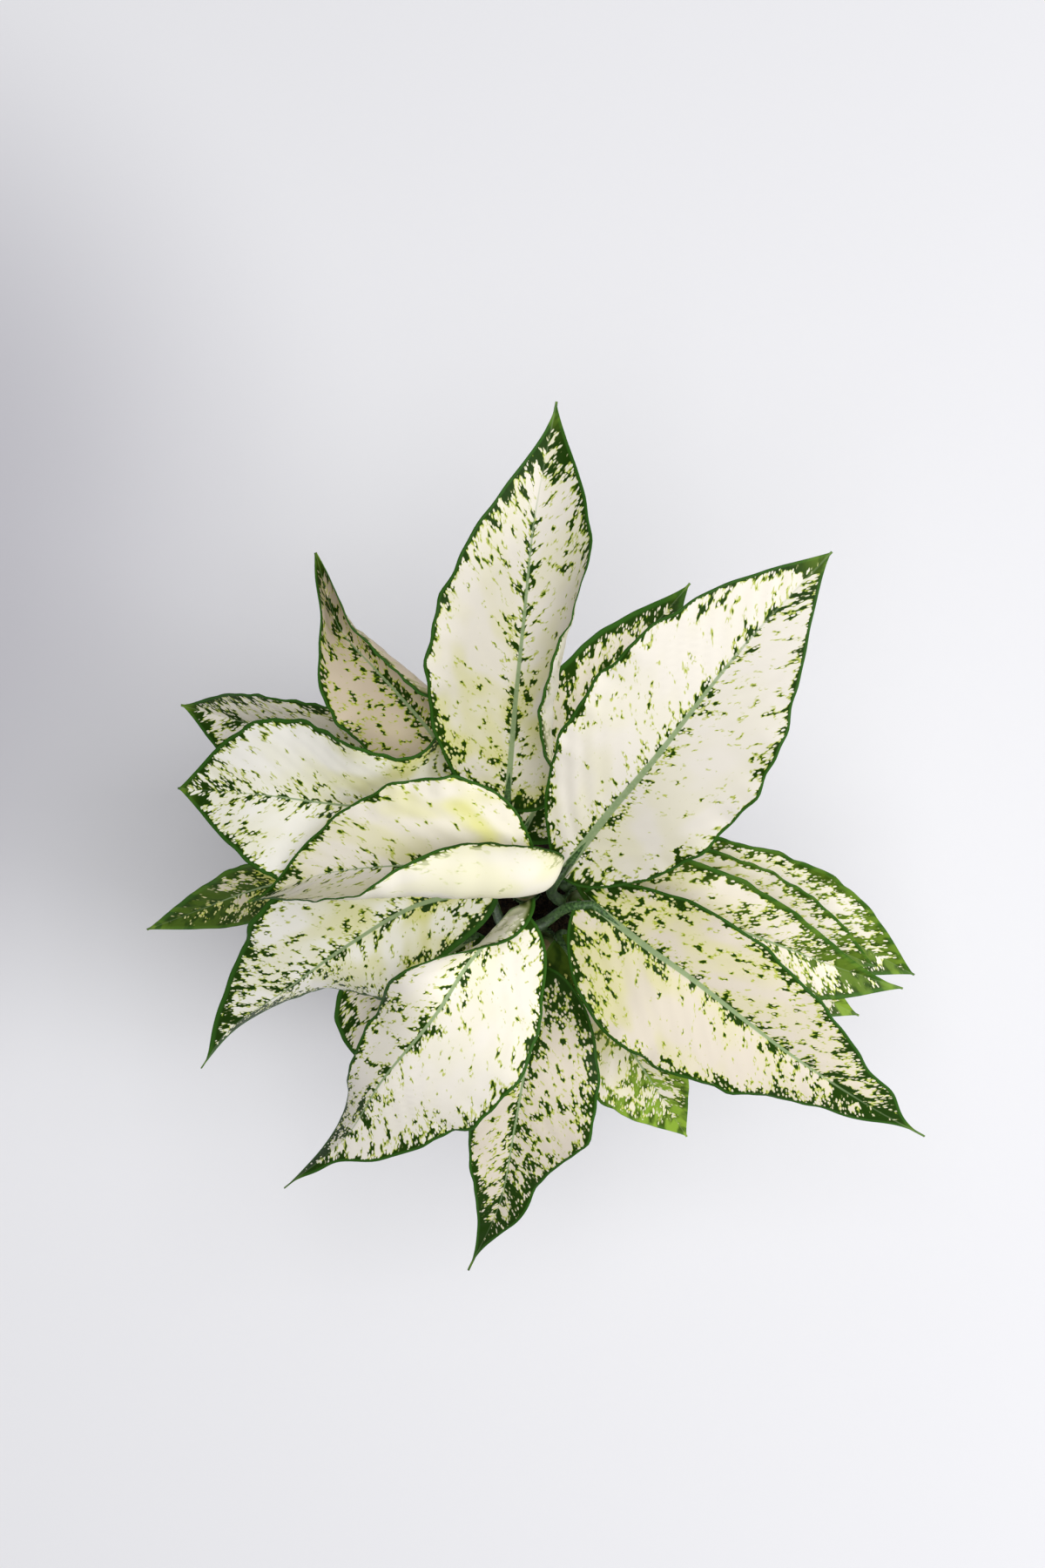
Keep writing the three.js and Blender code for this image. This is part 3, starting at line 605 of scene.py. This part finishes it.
def makeBlade(leaf, number):
    # a grid laid out on the leaf's own curves, then given its thickness
    deselectAll()
    bpy.ops.mesh.primitive_grid_add(
        x_subdivisions=leafMake["columns"], y_subdivisions=leafMake["rows"], size=2, calc_uvs=False)
    blade = bpy.context.object
    mesh = blade.data
    flat = np.empty(len(mesh.vertices) * 3, np.float32)
    mesh.vertices.foreach_get("co", flat)
    flat = flat.reshape(-1, 3).astype(float)
    x, v = flat[:, 0], flat[:, 1] * 0.5 + 0.5
    q = np.clip(1.25 * x - 0.25 * x ** 3, -1, 1)            # closer together near the margins
    t = np.clip(0.55 * (0.5 - 0.5 * np.cos(np.pi * v)) + 0.45 * v, 0, 1)
    place, laid = bladeSurface(leaf, number, t, q)
    mesh.vertices.foreach_set("co", (place * mm).astype(np.float32).ravel())
    edgeGap = marginDistance(place, t, q)
    # what the colours read: per point, where it lies and how much there is of each thing
    tipGreen = 0.12 * ease(t, 0.4, 0.95) + 0.42 * ease(t, 0.91, 1)      # most in the last tenth
    green = leaf["speckle"] + leaf["tip"] * tipGreen + 0.08 * (1 - ease(t, 0, 0.2))
    green += leaf["base"] * np.clip(1.6 - 4 * t, 0, 1)
    young = leaf["yellow"] * (1.3 - 0.95 * ease(t, 0.1, 0.6))           # tissue is youngest at the base
    lime = leaf["lime"] * (0.35 + 0.85 * ease(t, 0.3, 0.85)) + 0.35 * ease(t, 0.9, 1)
    band = laid["across"] - leaf["band"] * (1 - 0.8 * np.minimum(t / 0.8, 1))
    flank = leaf["flank"] * (0.31 - 0.21 * ease(t, 0.5, 0.9)) + 0.6 * leaf["speckle"]
    setValues(mesh, "leafPlace", [*laid["leafPlace"].T])
    setValues(mesh, "leafEdge", [edgeGap / leaf["rim"], green, 1 - ease(t, 0.93, 0.98)])
    setValues(mesh, "leafRib", [laid["across"], band, flank])
    # the first of these is painted shade, which darkens the white of leaves lying under others
    setValues(mesh, "leafToneAndShade", [0 * t + leaf["shade"], young, lime])
    setValues(mesh, "ribPale", [0.95 - 0.7 * ease(t, 0.55, 0.85)])

    thick = blade.vertex_groups.new(name="thick")
    thin = leafMake["bladeThickness"] / leafMake["ribThickness"]
    weight = thin + (1 - thin) * laid["rib"]
    for k, w in enumerate(weight):
        thick.add([k], float(w), "REPLACE")
    mesh.materials.append(upperMaterial)
    mesh.materials.append(lowerMaterial)
    shell = blade.modifiers.new("thickness", "SOLIDIFY")
    shell.thickness = leafMake["ribThickness"] * mm
    shell.offset = -1
    shell.vertex_group = "thick"
    shell.material_offset = 1
    bpy.ops.object.modifier_apply(modifier="thickness")
    blade.vertex_groups.clear()
    return blade


def makePetiole(leaf):
    # a rod from the cane up to the blade, where it goes on as the midrib
    cane = canes[leaf["cane"]]
    out = np.array([math.cos(math.radians(leaf["side"])), math.sin(math.radians(leaf["side"])), 0])
    clear = leafMake["caneRadius"] + leafMake["sheathGap"] + leafMake["petioleRadius"]
    start = np.array([cane["x"], cane["y"], leaf["node"]]) + out * clear
    above = start + out * 0.8 + np.array([0, 0, 6])
    end = np.array(leaf["spine"][0]) - np.array([0, 0, leafMake["ribDepth"]])
    run = Run([start, above, *leaf["stalk"], end])
    midrib = Run(leaf["spine"])
    shares = np.linspace(0, 1, 41)
    points = list(run.at(shares))
    radii = list(leafMake["petioleRadius"] * (1 - leafMake["petioleTaper"] * shares))
    for t in (0.025, 0.05, 0.075, 0.1):         # runs out under the first tenth of the blade
        along = midrib.along(t)
        right = np.cross(along, (0, 0, 1))
        up = np.cross(right / np.linalg.norm(right), along)
        points.append(midrib.at(t) - up * (leafMake["ribDepth"] + 5 * t))
        radii.append(2.15 - 13 * t)
    deselectAll()
    bpy.ops.curve.primitive_nurbs_path_add()
    rod = bpy.context.object
    rod.data.splines.clear()
    line = rod.data.splines.new("POLY")
    line.points.add(len(points) - 1)
    for k, (p, r) in enumerate(zip(points, radii)):
        line.points[k].co = (*(p * mm), 1)
        line.points[k].radius = r
    rod.data.bevel_depth = mm
    rod.data.bevel_resolution = 4
    rod.data.use_fill_caps = True
    bpy.ops.object.convert(target="MESH")
    return bpy.context.object


def makeSheath(leaf):
    # the petiole's foot widens into a thin collar that clasps the cane
    cane = canes[leaf["cane"]]
    deselectAll()
    bpy.ops.mesh.primitive_grid_add(x_subdivisions=20, y_subdivisions=8, size=2, calc_uvs=False)
    sheath = bpy.context.object
    mesh = sheath.data
    inner = leafMake["caneRadius"] + leafMake["sheathGap"]
    for vertex in mesh.vertices:
        x, v = vertex.co.x, vertex.co.y * 0.5 + 0.5
        reach = leafMake["sheathReach"] * (1 - 0.45 * v ** 2)
        angle = math.radians(leaf["side"] + x * reach)
        radius = inner + leafMake["sheathOut"] + 0.5 * v * (1 - abs(x))
        height = leaf["node"] + leafMake["sheathHeight"] * v * (1 - 0.35 * abs(x) ** 2)
        vertex.co = (
            (cane["x"] + radius * math.cos(angle)) * mm,
            (cane["y"] + radius * math.sin(angle)) * mm,
            height * mm,
        )
    shell = sheath.modifiers.new("thickness", "SOLIDIFY")
    shell.thickness = leafMake["sheathThickness"] * mm
    shell.offset = -1
    bpy.ops.object.modifier_apply(modifier="thickness")
    faceOutward()
    return sheath


leafColours = {
    "cream": "#FBF8EF",
    "paintedShadeBeige": "#CBBAA2",         # painted shade: the white darkened for leaves that lie in the shade of others
    "youngYellow": "#DCDA88",
    "halo": "#B6C02A",
    "lightGreen": "#62820E",
    "green": "#1F3C03",
    # the margin's own green, made lighter by a painted sheen
    "rimGreenAndSheen": "#34601C",
    "lime": "#86A636",
    "midrib": "#94A87A",
    "underside": "#EFEEE2",
}

leafPattern = {
    # sizes in mm along the leaf and across it, reaches in mm over which the green fades
    "threshold": 0.742,         # the higher, the less of the leaf turns green
    "speckSize": (4.6, 3.9),
    "patchSize": (24, 20),      # slow changes from one part of a leaf to another
    "patchGreen": 0.08,
    "blotchSize": (9, 7),
    "edgeReach": 3.6,           # thick green at the margin
    "edgeGreen": 0.38,
    "wideReach": 9.0,           # and a thinner scatter farther in
    "wideGreen": 0.08,
    "ribReach": 5.5,
    "ribGreen": 0.4,
    "flankSize": (4.0, 6.5),    # jagged blotches beside the midrib and at the margin
    "flankReach": 6.0,
    "borderReach": 4.5,
    "borderGreen": 0.26,
    "dotSize": (2.2, 2.2),      # cream dots in the green, about this far apart
    "dotRadius": 0.33,
    "haloWidth": 0.095,         # yellow-green round each speck: how far under the threshold it begins
    "haloStrength": 0.85,
    "cellSize": (0.9, 1.4),     # real ones are far finer, and these are as coarse as it takes to show
    "waxGloss": (0.36, 0.5),    # roughness of the upper face
    "underGloss": (0.5, 0.66),
}


def variegatedBlade(name, upper):
    # living leaf of a white variegated plant: waxy skin over tissue that has lost its green in all
    # but its margin, its midrib's flanks and scattered specks that follow the side veins
    material, tree = newMaterial(name)

    def attribute(label, output):
        return addNode(tree, "Attribute", {"attribute_name": label}).outputs[output]

    def calc(operation, *values):
        return addNode(tree, "Math", {"operation": operation}, dict(enumerate(values))).outputs[0]

    def span(value, low, high, atLow, atHigh):
        return addNode(tree, "MapRange", {"interpolation_type": "SMOOTHSTEP"}, {
            "Value": value, "From Min": low, "From Max": high, "To Min": atLow, "To Max": atHigh}).outputs[0]

    def blend(share, one, other):
        one, other = (linearColour(c) if isinstance(c, str) else c for c in (one, other))
        return addNode(tree, "Mix", {"data_type": "RGBA"}, {0: share, 6: one, 7: other}).outputs[2]

    def scaled(size, seed):
        # where we are, counted in features of this size in mm
        return addNode(tree, "VectorMath", {"operation": "MULTIPLY_ADD"}, {
            0: leafPlace, 1: (1 / size[0], 1 / size[1], 0), 2: (17 * seed, 5 * seed, 0)}).outputs[0]

    def noise(size, seed, detail, roughness=0.5):
        return addNode(tree, "TexNoise", {"noise_dimensions": "2D"}, {
            "Vector": scaled(size, seed), "Scale": 1.0, "Detail": detail,
            "Roughness": roughness}).outputs["Fac"]

    def parts(label):
        return addNode(tree, "SeparateXYZ", None, {0: attribute(label, "Vector")}).outputs

    leafPlace = attribute("leafPlace", "Vector")
    edge, greenShare, dotShare = parts("leafEdge")
    rib, bandEdge, flankShare = parts("leafRib")
    # shade is painted shade: how much each leaf's white is darkened
    shade, young, lime = parts("leafToneAndShade")
    speck = noise(leafPattern["speckSize"], 1.0, 2.5, 0.5)
    patch = noise(leafPattern["patchSize"], 1.7, 1.0)
    blotch = noise(leafPattern["blotchSize"], 2.3, 2.0)
    coarse = noise(leafPattern["flankSize"], 5.3, 2.5, 0.55)
    cells = noise(leafPattern["cellSize"], 4.0, 0.0)
    dots = addNode(tree, "TexVoronoi", {"voronoi_dimensions": "2D"}, {
        "Vector": scaled(leafPattern["dotSize"], 3.1), "Scale": 1.0}).outputs["Distance"]

    # how much green there is: most at the margin, beside the midrib, at the base and at the tip
    nearEdge = calc("MULTIPLY", edge, span(blotch, 0.35, 0.65, -1.5, -0.65))
    nearEdge = calc("EXPONENT", calc("DIVIDE", nearEdge, leafPattern["edgeReach"]))
    nearRib = calc("EXPONENT", calc("DIVIDE", rib, -leafPattern["ribReach"]))
    wide = calc("EXPONENT", calc("DIVIDE", edge, -leafPattern["wideReach"]))
    patchGreen = leafPattern["patchGreen"]
    density = calc("MULTIPLY_ADD", nearEdge, leafPattern["edgeGreen"], greenShare)
    density = calc("MULTIPLY_ADD", nearRib, span(blotch, 0.42, 0.6, 0.0, leafPattern["ribGreen"]), density)
    density = calc("MULTIPLY_ADD", wide, leafPattern["wideGreen"], density)
    density = calc("ADD", density, span(patch, 0.36, 0.66, -patchGreen, patchGreen))
    density = calc("ADD", density, span(edge, 1.0, 1.8, 0.32, 0.0))     # the very margin stays green
    level = calc("ADD", speck, density)
    start = leafPattern["threshold"]

    # larger jagged blotches grow out of the midrib along the side veins
    flank = calc("EXPONENT", calc("DIVIDE", rib, -leafPattern["flankReach"]))
    flank = calc("MULTIPLY", flank, span(blotch, 0.3, 0.6, 0.6, 1.0))
    level = calc("MAXIMUM", level, calc("MULTIPLY_ADD", flank, flankShare, coarse))
    # and smaller ones out of the margin, more of them where the leaf is greener
    border = calc("EXPONENT", calc("DIVIDE", edge, -leafPattern["borderReach"]))
    border = calc("MULTIPLY", border, span(patch, 0.36, 0.6, 0.5, 1.0))
    borderShare = calc("ADD", greenShare, leafPattern["borderGreen"])
    level = calc("MAXIMUM", level, calc("MULTIPLY_ADD", border, borderShare, coarse))

    # cream dots stay free in the green, but not on the very margin or in the tip
    dotZone = calc("MULTIPLY", span(edge, 0.6, 1.3, 0.0, 1.0), dotShare)
    dotZone = calc("MULTIPLY", dotZone, span(level, start + 0.1, start + 0.28, 1.0, 0.0))
    dotEdge = leafPattern["dotRadius"]
    dotHere = calc("MULTIPLY", span(dots, dotEdge - 0.1, dotEdge, 1.0, 0.0), dotZone)
    free = calc("SUBTRACT", 1.0, dotHere)

    # white ground, darkened to beige by painted shade on leaves that lie in shade, and yellow-green where
    # the tissue is young
    pale = leafColours["cream" if upper else "underside"]
    ground = blend(shade, pale, leafColours["paintedShadeBeige"])
    young = calc("MULTIPLY", span(patch, 0.36, 0.62, 0.1, 1.0), young)
    if not upper:
        young = calc("MULTIPLY", young, 0.3)
    ground = blend(young, ground, leafColours["youngYellow"])

    # from below the specks show through only faintly, the margin fully
    if not upper:
        free = calc("MULTIPLY", free, span(edge, 1.5, 4.0, 1.0, 0.3))
    haloStart, haloShare = start - leafPattern["haloWidth"], leafPattern["haloStrength"]
    halo = calc("MULTIPLY", span(level, haloStart, start - 0.01, 0.0, haloShare), free)
    green = calc("MULTIPLY", span(level, start - 0.01, start + 0.015, 0.0, 1.0), free)
    depth = span(level, start - 0.01, start + 0.06, 0.0, 1.0)
    greenColour = blend(depth, leafColours["lightGreen"], leafColours["green"])
    # the very margin: its own green, lightened by a painted sheen
    greenColour = blend(span(edge, 0.8, 1.8, 0.8, 0.0), greenColour, leafColours["rimGreenAndSheen"])
    limeShare = calc("MULTIPLY", lime, span(blotch, 0.4, 0.62, 0.2, 1.4))
    greenColour = blend(limeShare, greenColour, leafColours["lime"])
    colour = blend(halo, ground, leafColours["halo"])
    colour = blend(green, colour, greenColour)

    # the midrib is a pale band that narrows and greens towards the tip
    band = calc("MULTIPLY", span(bandEdge, -0.3, 0.2, 1.0, 0.0), attribute("ribPale", "Fac"))
    colour = blend(band, colour, leafColours["midrib"])

    # skin: a little more or less waxy from cell to cell
    gloss = span(cells, 0.2, 0.8, *leafPattern["waxGloss" if upper else "underGloss"])
    shader = addNode(tree, "BsdfPrincipled", None, {
        "Base Color": colour, "Roughness": gloss, "Specular IOR Level": 0.08})
    addNode(tree, "OutputMaterial", None, {"Surface": shader.outputs[0]})
    return material


petioleLooks = {
    "dark": "#22401A",
    "pale": "#5F8349",
    "streakWidth": 1.1,          # mm
    "streakLength": 11,
    "streakRelief": 0.3,
}


def petioleSkin():
    # living petiole: smooth juicy green stalk with a soft sheen, paler in long streaks
    material, tree = newMaterial("petioleSkin")
    where = addNode(tree, "TexCoord").outputs["Object"]
    wide, tall = 1 / (petioleLooks["streakWidth"] * mm), 1 / (petioleLooks["streakLength"] * mm)
    longPlace = addNode(tree, "VectorMath", {"operation": "MULTIPLY"}, {0: where, 1: (wide, wide, tall)})
    streak = addNode(tree, "TexNoise", None, {"Vector": longPlace.outputs[0], "Scale": 1.0, "Detail": 3.0})
    mix = addNode(tree, "MapRange", None, {
        "Value": streak.outputs["Fac"], "From Min": 0.35, "From Max": 0.7})
    colour = addNode(tree, "Mix", {"data_type": "RGBA"}, {
        0: mix.outputs[0], 6: linearColour(petioleLooks["dark"]), 7: linearColour(petioleLooks["pale"])})
    skin = addNode(tree, "Bump", None, {
        "Strength": 0.3, "Distance": petioleLooks["streakRelief"] * mm, "Height": streak.outputs["Fac"]})
    shader = addNode(tree, "BsdfPrincipled", None, {
        "Base Color": colour.outputs[2], "Roughness": 0.42, "IOR": 1.45, "Normal": skin.outputs[0]})
    addNode(tree, "OutputMaterial", None, {"Surface": shader.outputs[0]})
    return material


upperMaterial = variegatedBlade("variegatedLeafUpper", True)
lowerMaterial = variegatedBlade("variegatedLeafUnderside", False)
petioleMaterial = petioleSkin()
for number, ownLook in enumerate(leaves):
    leaf = {**plainLeaf, **ownLook}
    blade = makeBlade(leaf, number)
    petiole = makePetiole(leaf)
    dress(petiole, petioleMaterial)
    sheath = makeSheath(leaf)
    dress(sheath, petioleMaterial)
    pick(blade, petiole, sheath)
    bpy.ops.object.join()
    bpy.ops.object.shade_smooth()
    finishPiece(blade, leaf["name"].replace("_", "-"), "leaf", leaf["name"])
print("leaves made:", len(leaves))

# Pot, soil and canes

potMake = {
    # in mm
    "height": 140,
    "rimRadius": 78,
    "baseRadius": 58,
    "wall": 5,
    "floor": 7,
    "holeRadius": 5,
    "holeFromCentre": 32,
    "holes": 4,
    "sides": 96,
    "glaze": "#F0EFEB",
    "mottle": "#E9E7E1",
    "mottleSize": 16,
    "grainSize": 1.1,       # pits in the glaze, drawn coarser than real ones so that they show
    "grainDepth": 0.2,
}


def turnedPiece(profile, sides):
    # a disc drawn up ring by ring along its profile
    deselectAll()
    radius, height = profile[0]
    bpy.ops.mesh.primitive_circle_add(
        vertices=sides, radius=radius * mm, fill_type="NGON", location=(0, 0, height * mm))
    piece = bpy.context.object
    bpy.ops.object.transform_apply(location=True)
    bpy.ops.object.mode_set(mode="EDIT")
    bpy.ops.mesh.select_all(action="SELECT")
    for nextRadius, nextHeight in profile[1:]:
        bpy.ops.mesh.extrude_region_move(
            TRANSFORM_OT_translate={"value": (0, 0, (nextHeight - height) * mm)})
        bpy.ops.transform.resize(value=(nextRadius / radius, nextRadius / radius, 1))
        radius, height = nextRadius, nextHeight
    faceOutward()
    return piece


def innerRadius(height):
    slope = (potMake["rimRadius"] - potMake["baseRadius"]) / potMake["height"]
    return potMake["baseRadius"] + slope * height - potMake["wall"]


def glazedPot():
    # white earthenware with a matt glaze: even, a little cool, with the faintest mottling
    material, tree = newMaterial("mattGlazedEarthenware")
    where = addNode(tree, "TexCoord").outputs["Object"]
    mottle = addNode(tree, "TexNoise", None, {
        "Vector": where, "Scale": 1 / (potMake["mottleSize"] * mm), "Detail": 5.0})
    grain = addNode(tree, "TexNoise", None, {
        "Vector": where, "Scale": 1 / (potMake["grainSize"] * mm), "Detail": 2.0})
    mix = addNode(tree, "MapRange", None, {"Value": mottle.outputs["Fac"], "From Min": 0.3, "From Max": 0.7})
    colour = addNode(tree, "Mix", {"data_type": "RGBA"}, {
        0: mix.outputs[0], 6: linearColour(potMake["glaze"]), 7: linearColour(potMake["mottle"])})
    gloss = addNode(tree, "MapRange", None, {
        "Value": mottle.outputs["Fac"], "To Min": 0.42, "To Max": 0.6})
    pitted = addNode(tree, "Bump", None, {
        "Strength": 0.12, "Distance": potMake["grainDepth"] * mm, "Height": grain.outputs["Fac"]})
    shader = addNode(tree, "BsdfPrincipled", None, {
        "Base Color": colour.outputs[2], "Roughness": gloss.outputs[0], "Normal": pitted.outputs[0]})
    addNode(tree, "OutputMaterial", None, {"Surface": shader.outputs[0]})
    return material


def makePot():
    rim, top, wall = potMake["rimRadius"], potMake["height"], potMake["wall"]
    base, bottom = potMake["baseRadius"], potMake["floor"]
    # rounded foot, outer wall, rounded rim, inner wall and floor
    profile = [(base - 3, 0), (base - 1.6, 0.4), (base - 0.5, 1.4), (base, 3), (base + 0.6, 6)]
    profile += [(base + (rim - base) * z / top, z) for z in (40, 80, 120, 134)]
    profile += [(rim - 0.3, top - 3), (rim - 0.9, top - 1.2), (rim - 1.8, top - 0.3)]
    profile += [(rim - wall / 2, top), (rim - wall + 1.8, top - 0.3), (rim - wall + 0.7, top - 1.2)]
    profile += [(innerRadius(z), z) for z in (top - 4, 100, 60, bottom + 6)]
    profile += [(innerRadius(bottom) - 2, bottom + 1.2), (innerRadius(bottom) - 5, bottom)]
    profile += [(30, bottom), (8, bottom)]
    pot = turnedPiece(profile, potMake["sides"])
    for k in range(potMake["holes"]):
        angle = (k + 0.5) * 2 * math.pi / potMake["holes"]
        centre = (potMake["holeFromCentre"] * math.cos(angle) * mm,
                  potMake["holeFromCentre"] * math.sin(angle) * mm, bottom / 2 * mm)
        deselectAll()
        bpy.ops.mesh.primitive_cylinder_add(
            vertices=32, radius=potMake["holeRadius"] * mm, depth=3 * bottom * mm, location=centre)
        drill = bpy.context.object
        cut = pot.modifiers.new("drainHole", "BOOLEAN")
        cut.operation = "DIFFERENCE"
        cut.solver = "EXACT"
        cut.object = drill
        pick(pot)
        bpy.ops.object.modifier_apply(modifier="drainHole")
        bpy.data.objects.remove(drill)
    dress(pot, glazedPot())
    bpy.ops.object.shade_smooth_by_angle(angle=math.radians(35))
    finishPiece(pot, "pot-shell", "pot", "pot")


soilMake = {
    # in mm
    "top": 125,
    "wallGap": 0.6,
    "mound": 3,             # how much higher it lies in the middle
    "rings": 34,            # of faces, from the wall to the middle
    "grain": 1.1,           # unevenness of its top
    "crumbs": 260,          # loose ones on top
    "crumbRadius": (0.9, 2.6),
    "caneClear": 10,        # no loose crumb nearer to a cane's middle
    "crumbSize": 2.4,       # in the material
    "crumbRelief": 1.5,
    "seed": 5,
    "peat": "#15100C",
    "bark": "#43321F",
}


def pottingSoil():
    # moist peat and bark: near black, with brown crumbs
    material, tree = newMaterial("moistPottingSoil")
    where = addNode(tree, "TexCoord").outputs["Object"]
    crumbs = addNode(tree, "TexNoise", None, {
        "Vector": where, "Scale": 1 / (soilMake["crumbSize"] * mm), "Detail": 5.0, "Roughness": 0.7})
    mix = addNode(tree, "MapRange", None, {
        "Value": crumbs.outputs["Fac"], "From Min": 0.42, "From Max": 0.72})
    colour = addNode(tree, "Mix", {"data_type": "RGBA"}, {
        0: mix.outputs[0], 6: linearColour(soilMake["peat"]), 7: linearColour(soilMake["bark"])})
    rough = addNode(tree, "Bump", None, {
        "Strength": 0.9, "Distance": soilMake["crumbRelief"] * mm, "Height": crumbs.outputs["Fac"]})
    shader = addNode(tree, "BsdfPrincipled", None, {
        "Base Color": colour.outputs[2], "Roughness": 0.95, "Specular IOR Level": 0.25,
        "Normal": rough.outputs[0]})
    addNode(tree, "OutputMaterial", None, {"Surface": shader.outputs[0]})
    return material


def makeSoil():
    top, bottom = soilMake["top"], potMake["floor"] + 0.3
    wall = innerRadius(top) - soilMake["wallGap"]
    rings = [wall, *np.linspace(wall - 1.5, 3, soilMake["rings"])]
    profile = [(innerRadius(bottom) - 6, bottom), (innerRadius(bottom + 6) - 1, bottom + 6), (wall, top - 2)]
    profile += [(r, top) for r in rings]
    soil = turnedPiece(profile, potMake["sides"])
    rng = np.random.default_rng(soilMake["seed"])
    for vertex in soil.data.vertices:
        x, y, z = (c / mm for c in vertex.co)
        if z > top - 0.5:
            far = math.hypot(x, y)
            lumps = math.sin(x * 0.31 + 1) * math.cos(y * 0.27) + 0.6 * math.sin(x * 0.13 - y * 0.22)
            inside = min(max((wall - far) / 6, 0), 1)
            lift = soilMake["mound"] * (1 - far / wall) + lumps * inside
            vertex.co.z = (top + lift + inside * soilMake["grain"] * rng.uniform(-0.7, 0.7)) * mm
    parts = [soil]
    for k in range(soilMake["crumbs"]):
        far, angle = wall * math.sqrt(rng.uniform(0.02, 0.93)), rng.uniform(0, 2 * math.pi)
        x, y = far * math.cos(angle), far * math.sin(angle)
        if any(math.hypot(x - c["x"], y - c["y"]) < soilMake["caneClear"] for c in canes):
            continue
        size = rng.uniform(*soilMake["crumbRadius"])
        height = top + 1.5 * (1 - far / wall) + 1
        deselectAll()
        bpy.ops.mesh.primitive_ico_sphere_add(
            subdivisions=1, radius=size * mm, location=(x * mm, y * mm, height * mm),
            rotation=tuple(rng.uniform(0, 3, 3)), scale=(1, rng.uniform(0.5, 1), rng.uniform(0.35, 0.7)))
        parts.append(bpy.context.object)
    pick(*parts)
    bpy.ops.object.transform_apply(location=True, rotation=True, scale=True)
    bpy.ops.object.join()
    dress(soil, pottingSoil())
    bpy.ops.object.shade_smooth_by_angle(angle=math.radians(50))
    finishPiece(soil, "potting-soil", "soil", "soil")


caneMake = {
    # in mm
    "foot": 84,             # its lower end, inside the soil
    "scarSpacing": 12,      # from one old leaf's ring to the next
    "scarHeight": 0.45,
    "sides": 40,
    "skin": "#5E7238",
    "cork": "#8A7A52",
    "corkRelief": 0.6,
}


def caneBark():
    # young woody cane: green skin with corky brown rings where old leaves were
    material, tree = newMaterial("greenCaneBark")
    where = addNode(tree, "TexCoord").outputs["Object"]
    rings = addNode(tree, "TexWave", {"bands_direction": "Z"}, {
        "Vector": where, "Distortion": 1.5, "Detail": 2.0,
        "Scale": math.pi / 10 / (caneMake["scarSpacing"] * mm)})        # this wave repeats every pi / 10
    cork = addNode(tree, "MapRange", {"interpolation_type": "SMOOTHSTEP"}, {
        "Value": rings.outputs["Fac"], "From Min": 0.78, "From Max": 0.97})
    colour = addNode(tree, "Mix", {"data_type": "RGBA"}, {
        0: cork.outputs[0], 6: linearColour(caneMake["skin"]), 7: linearColour(caneMake["cork"])})
    ridge = addNode(tree, "Bump", None, {
        "Strength": 0.5, "Distance": caneMake["corkRelief"] * mm, "Height": rings.outputs["Fac"]})
    shader = addNode(tree, "BsdfPrincipled", None, {
        "Base Color": colour.outputs[2], "Roughness": 0.6, "Normal": ridge.outputs[0]})
    addNode(tree, "OutputMaterial", None, {"Surface": shader.outputs[0]})
    return material


def makeCane(cane, material):
    radius = leafMake["caneRadius"]
    profile = [(radius - 0.5, caneMake["foot"]), (radius - 0.25, caneMake["foot"] + 0.6)]
    z = caneMake["foot"] + 6
    while z < cane["top"] - 14:
        profile += [(radius - 0.35, z), (radius - 0.35 + caneMake["scarHeight"] * 0.6, z + 1)]
        profile += [(radius - 0.1, z + 1.6), (radius - 0.4, z + 2.4), (radius - 0.45, z + 7)]
        z += caneMake["scarSpacing"]
    profile += [(radius - 0.5, cane["top"] - 8), (radius - 1.2, cane["top"] - 4)]
    profile += [(radius - 2.6, cane["top"] - 1.2), (radius - 4.6, cane["top"] - 0.1), (0.5, cane["top"])]
    piece = turnedPiece(profile, caneMake["sides"])
    pick(piece)
    piece.location = (cane["x"] * mm, cane["y"] * mm, 0)
    bpy.ops.object.transform_apply(location=True)
    dress(piece, material)
    bpy.ops.object.shade_smooth_by_angle(angle=math.radians(60))
    finishPiece(piece, cane["name"].replace("_", "-"), "stem", cane["name"])


makePot()
makeSoil()
caneMaterial = caneBark()
for cane in canes:
    makeCane(cane, caneMaterial)
print("pot, soil and canes made")
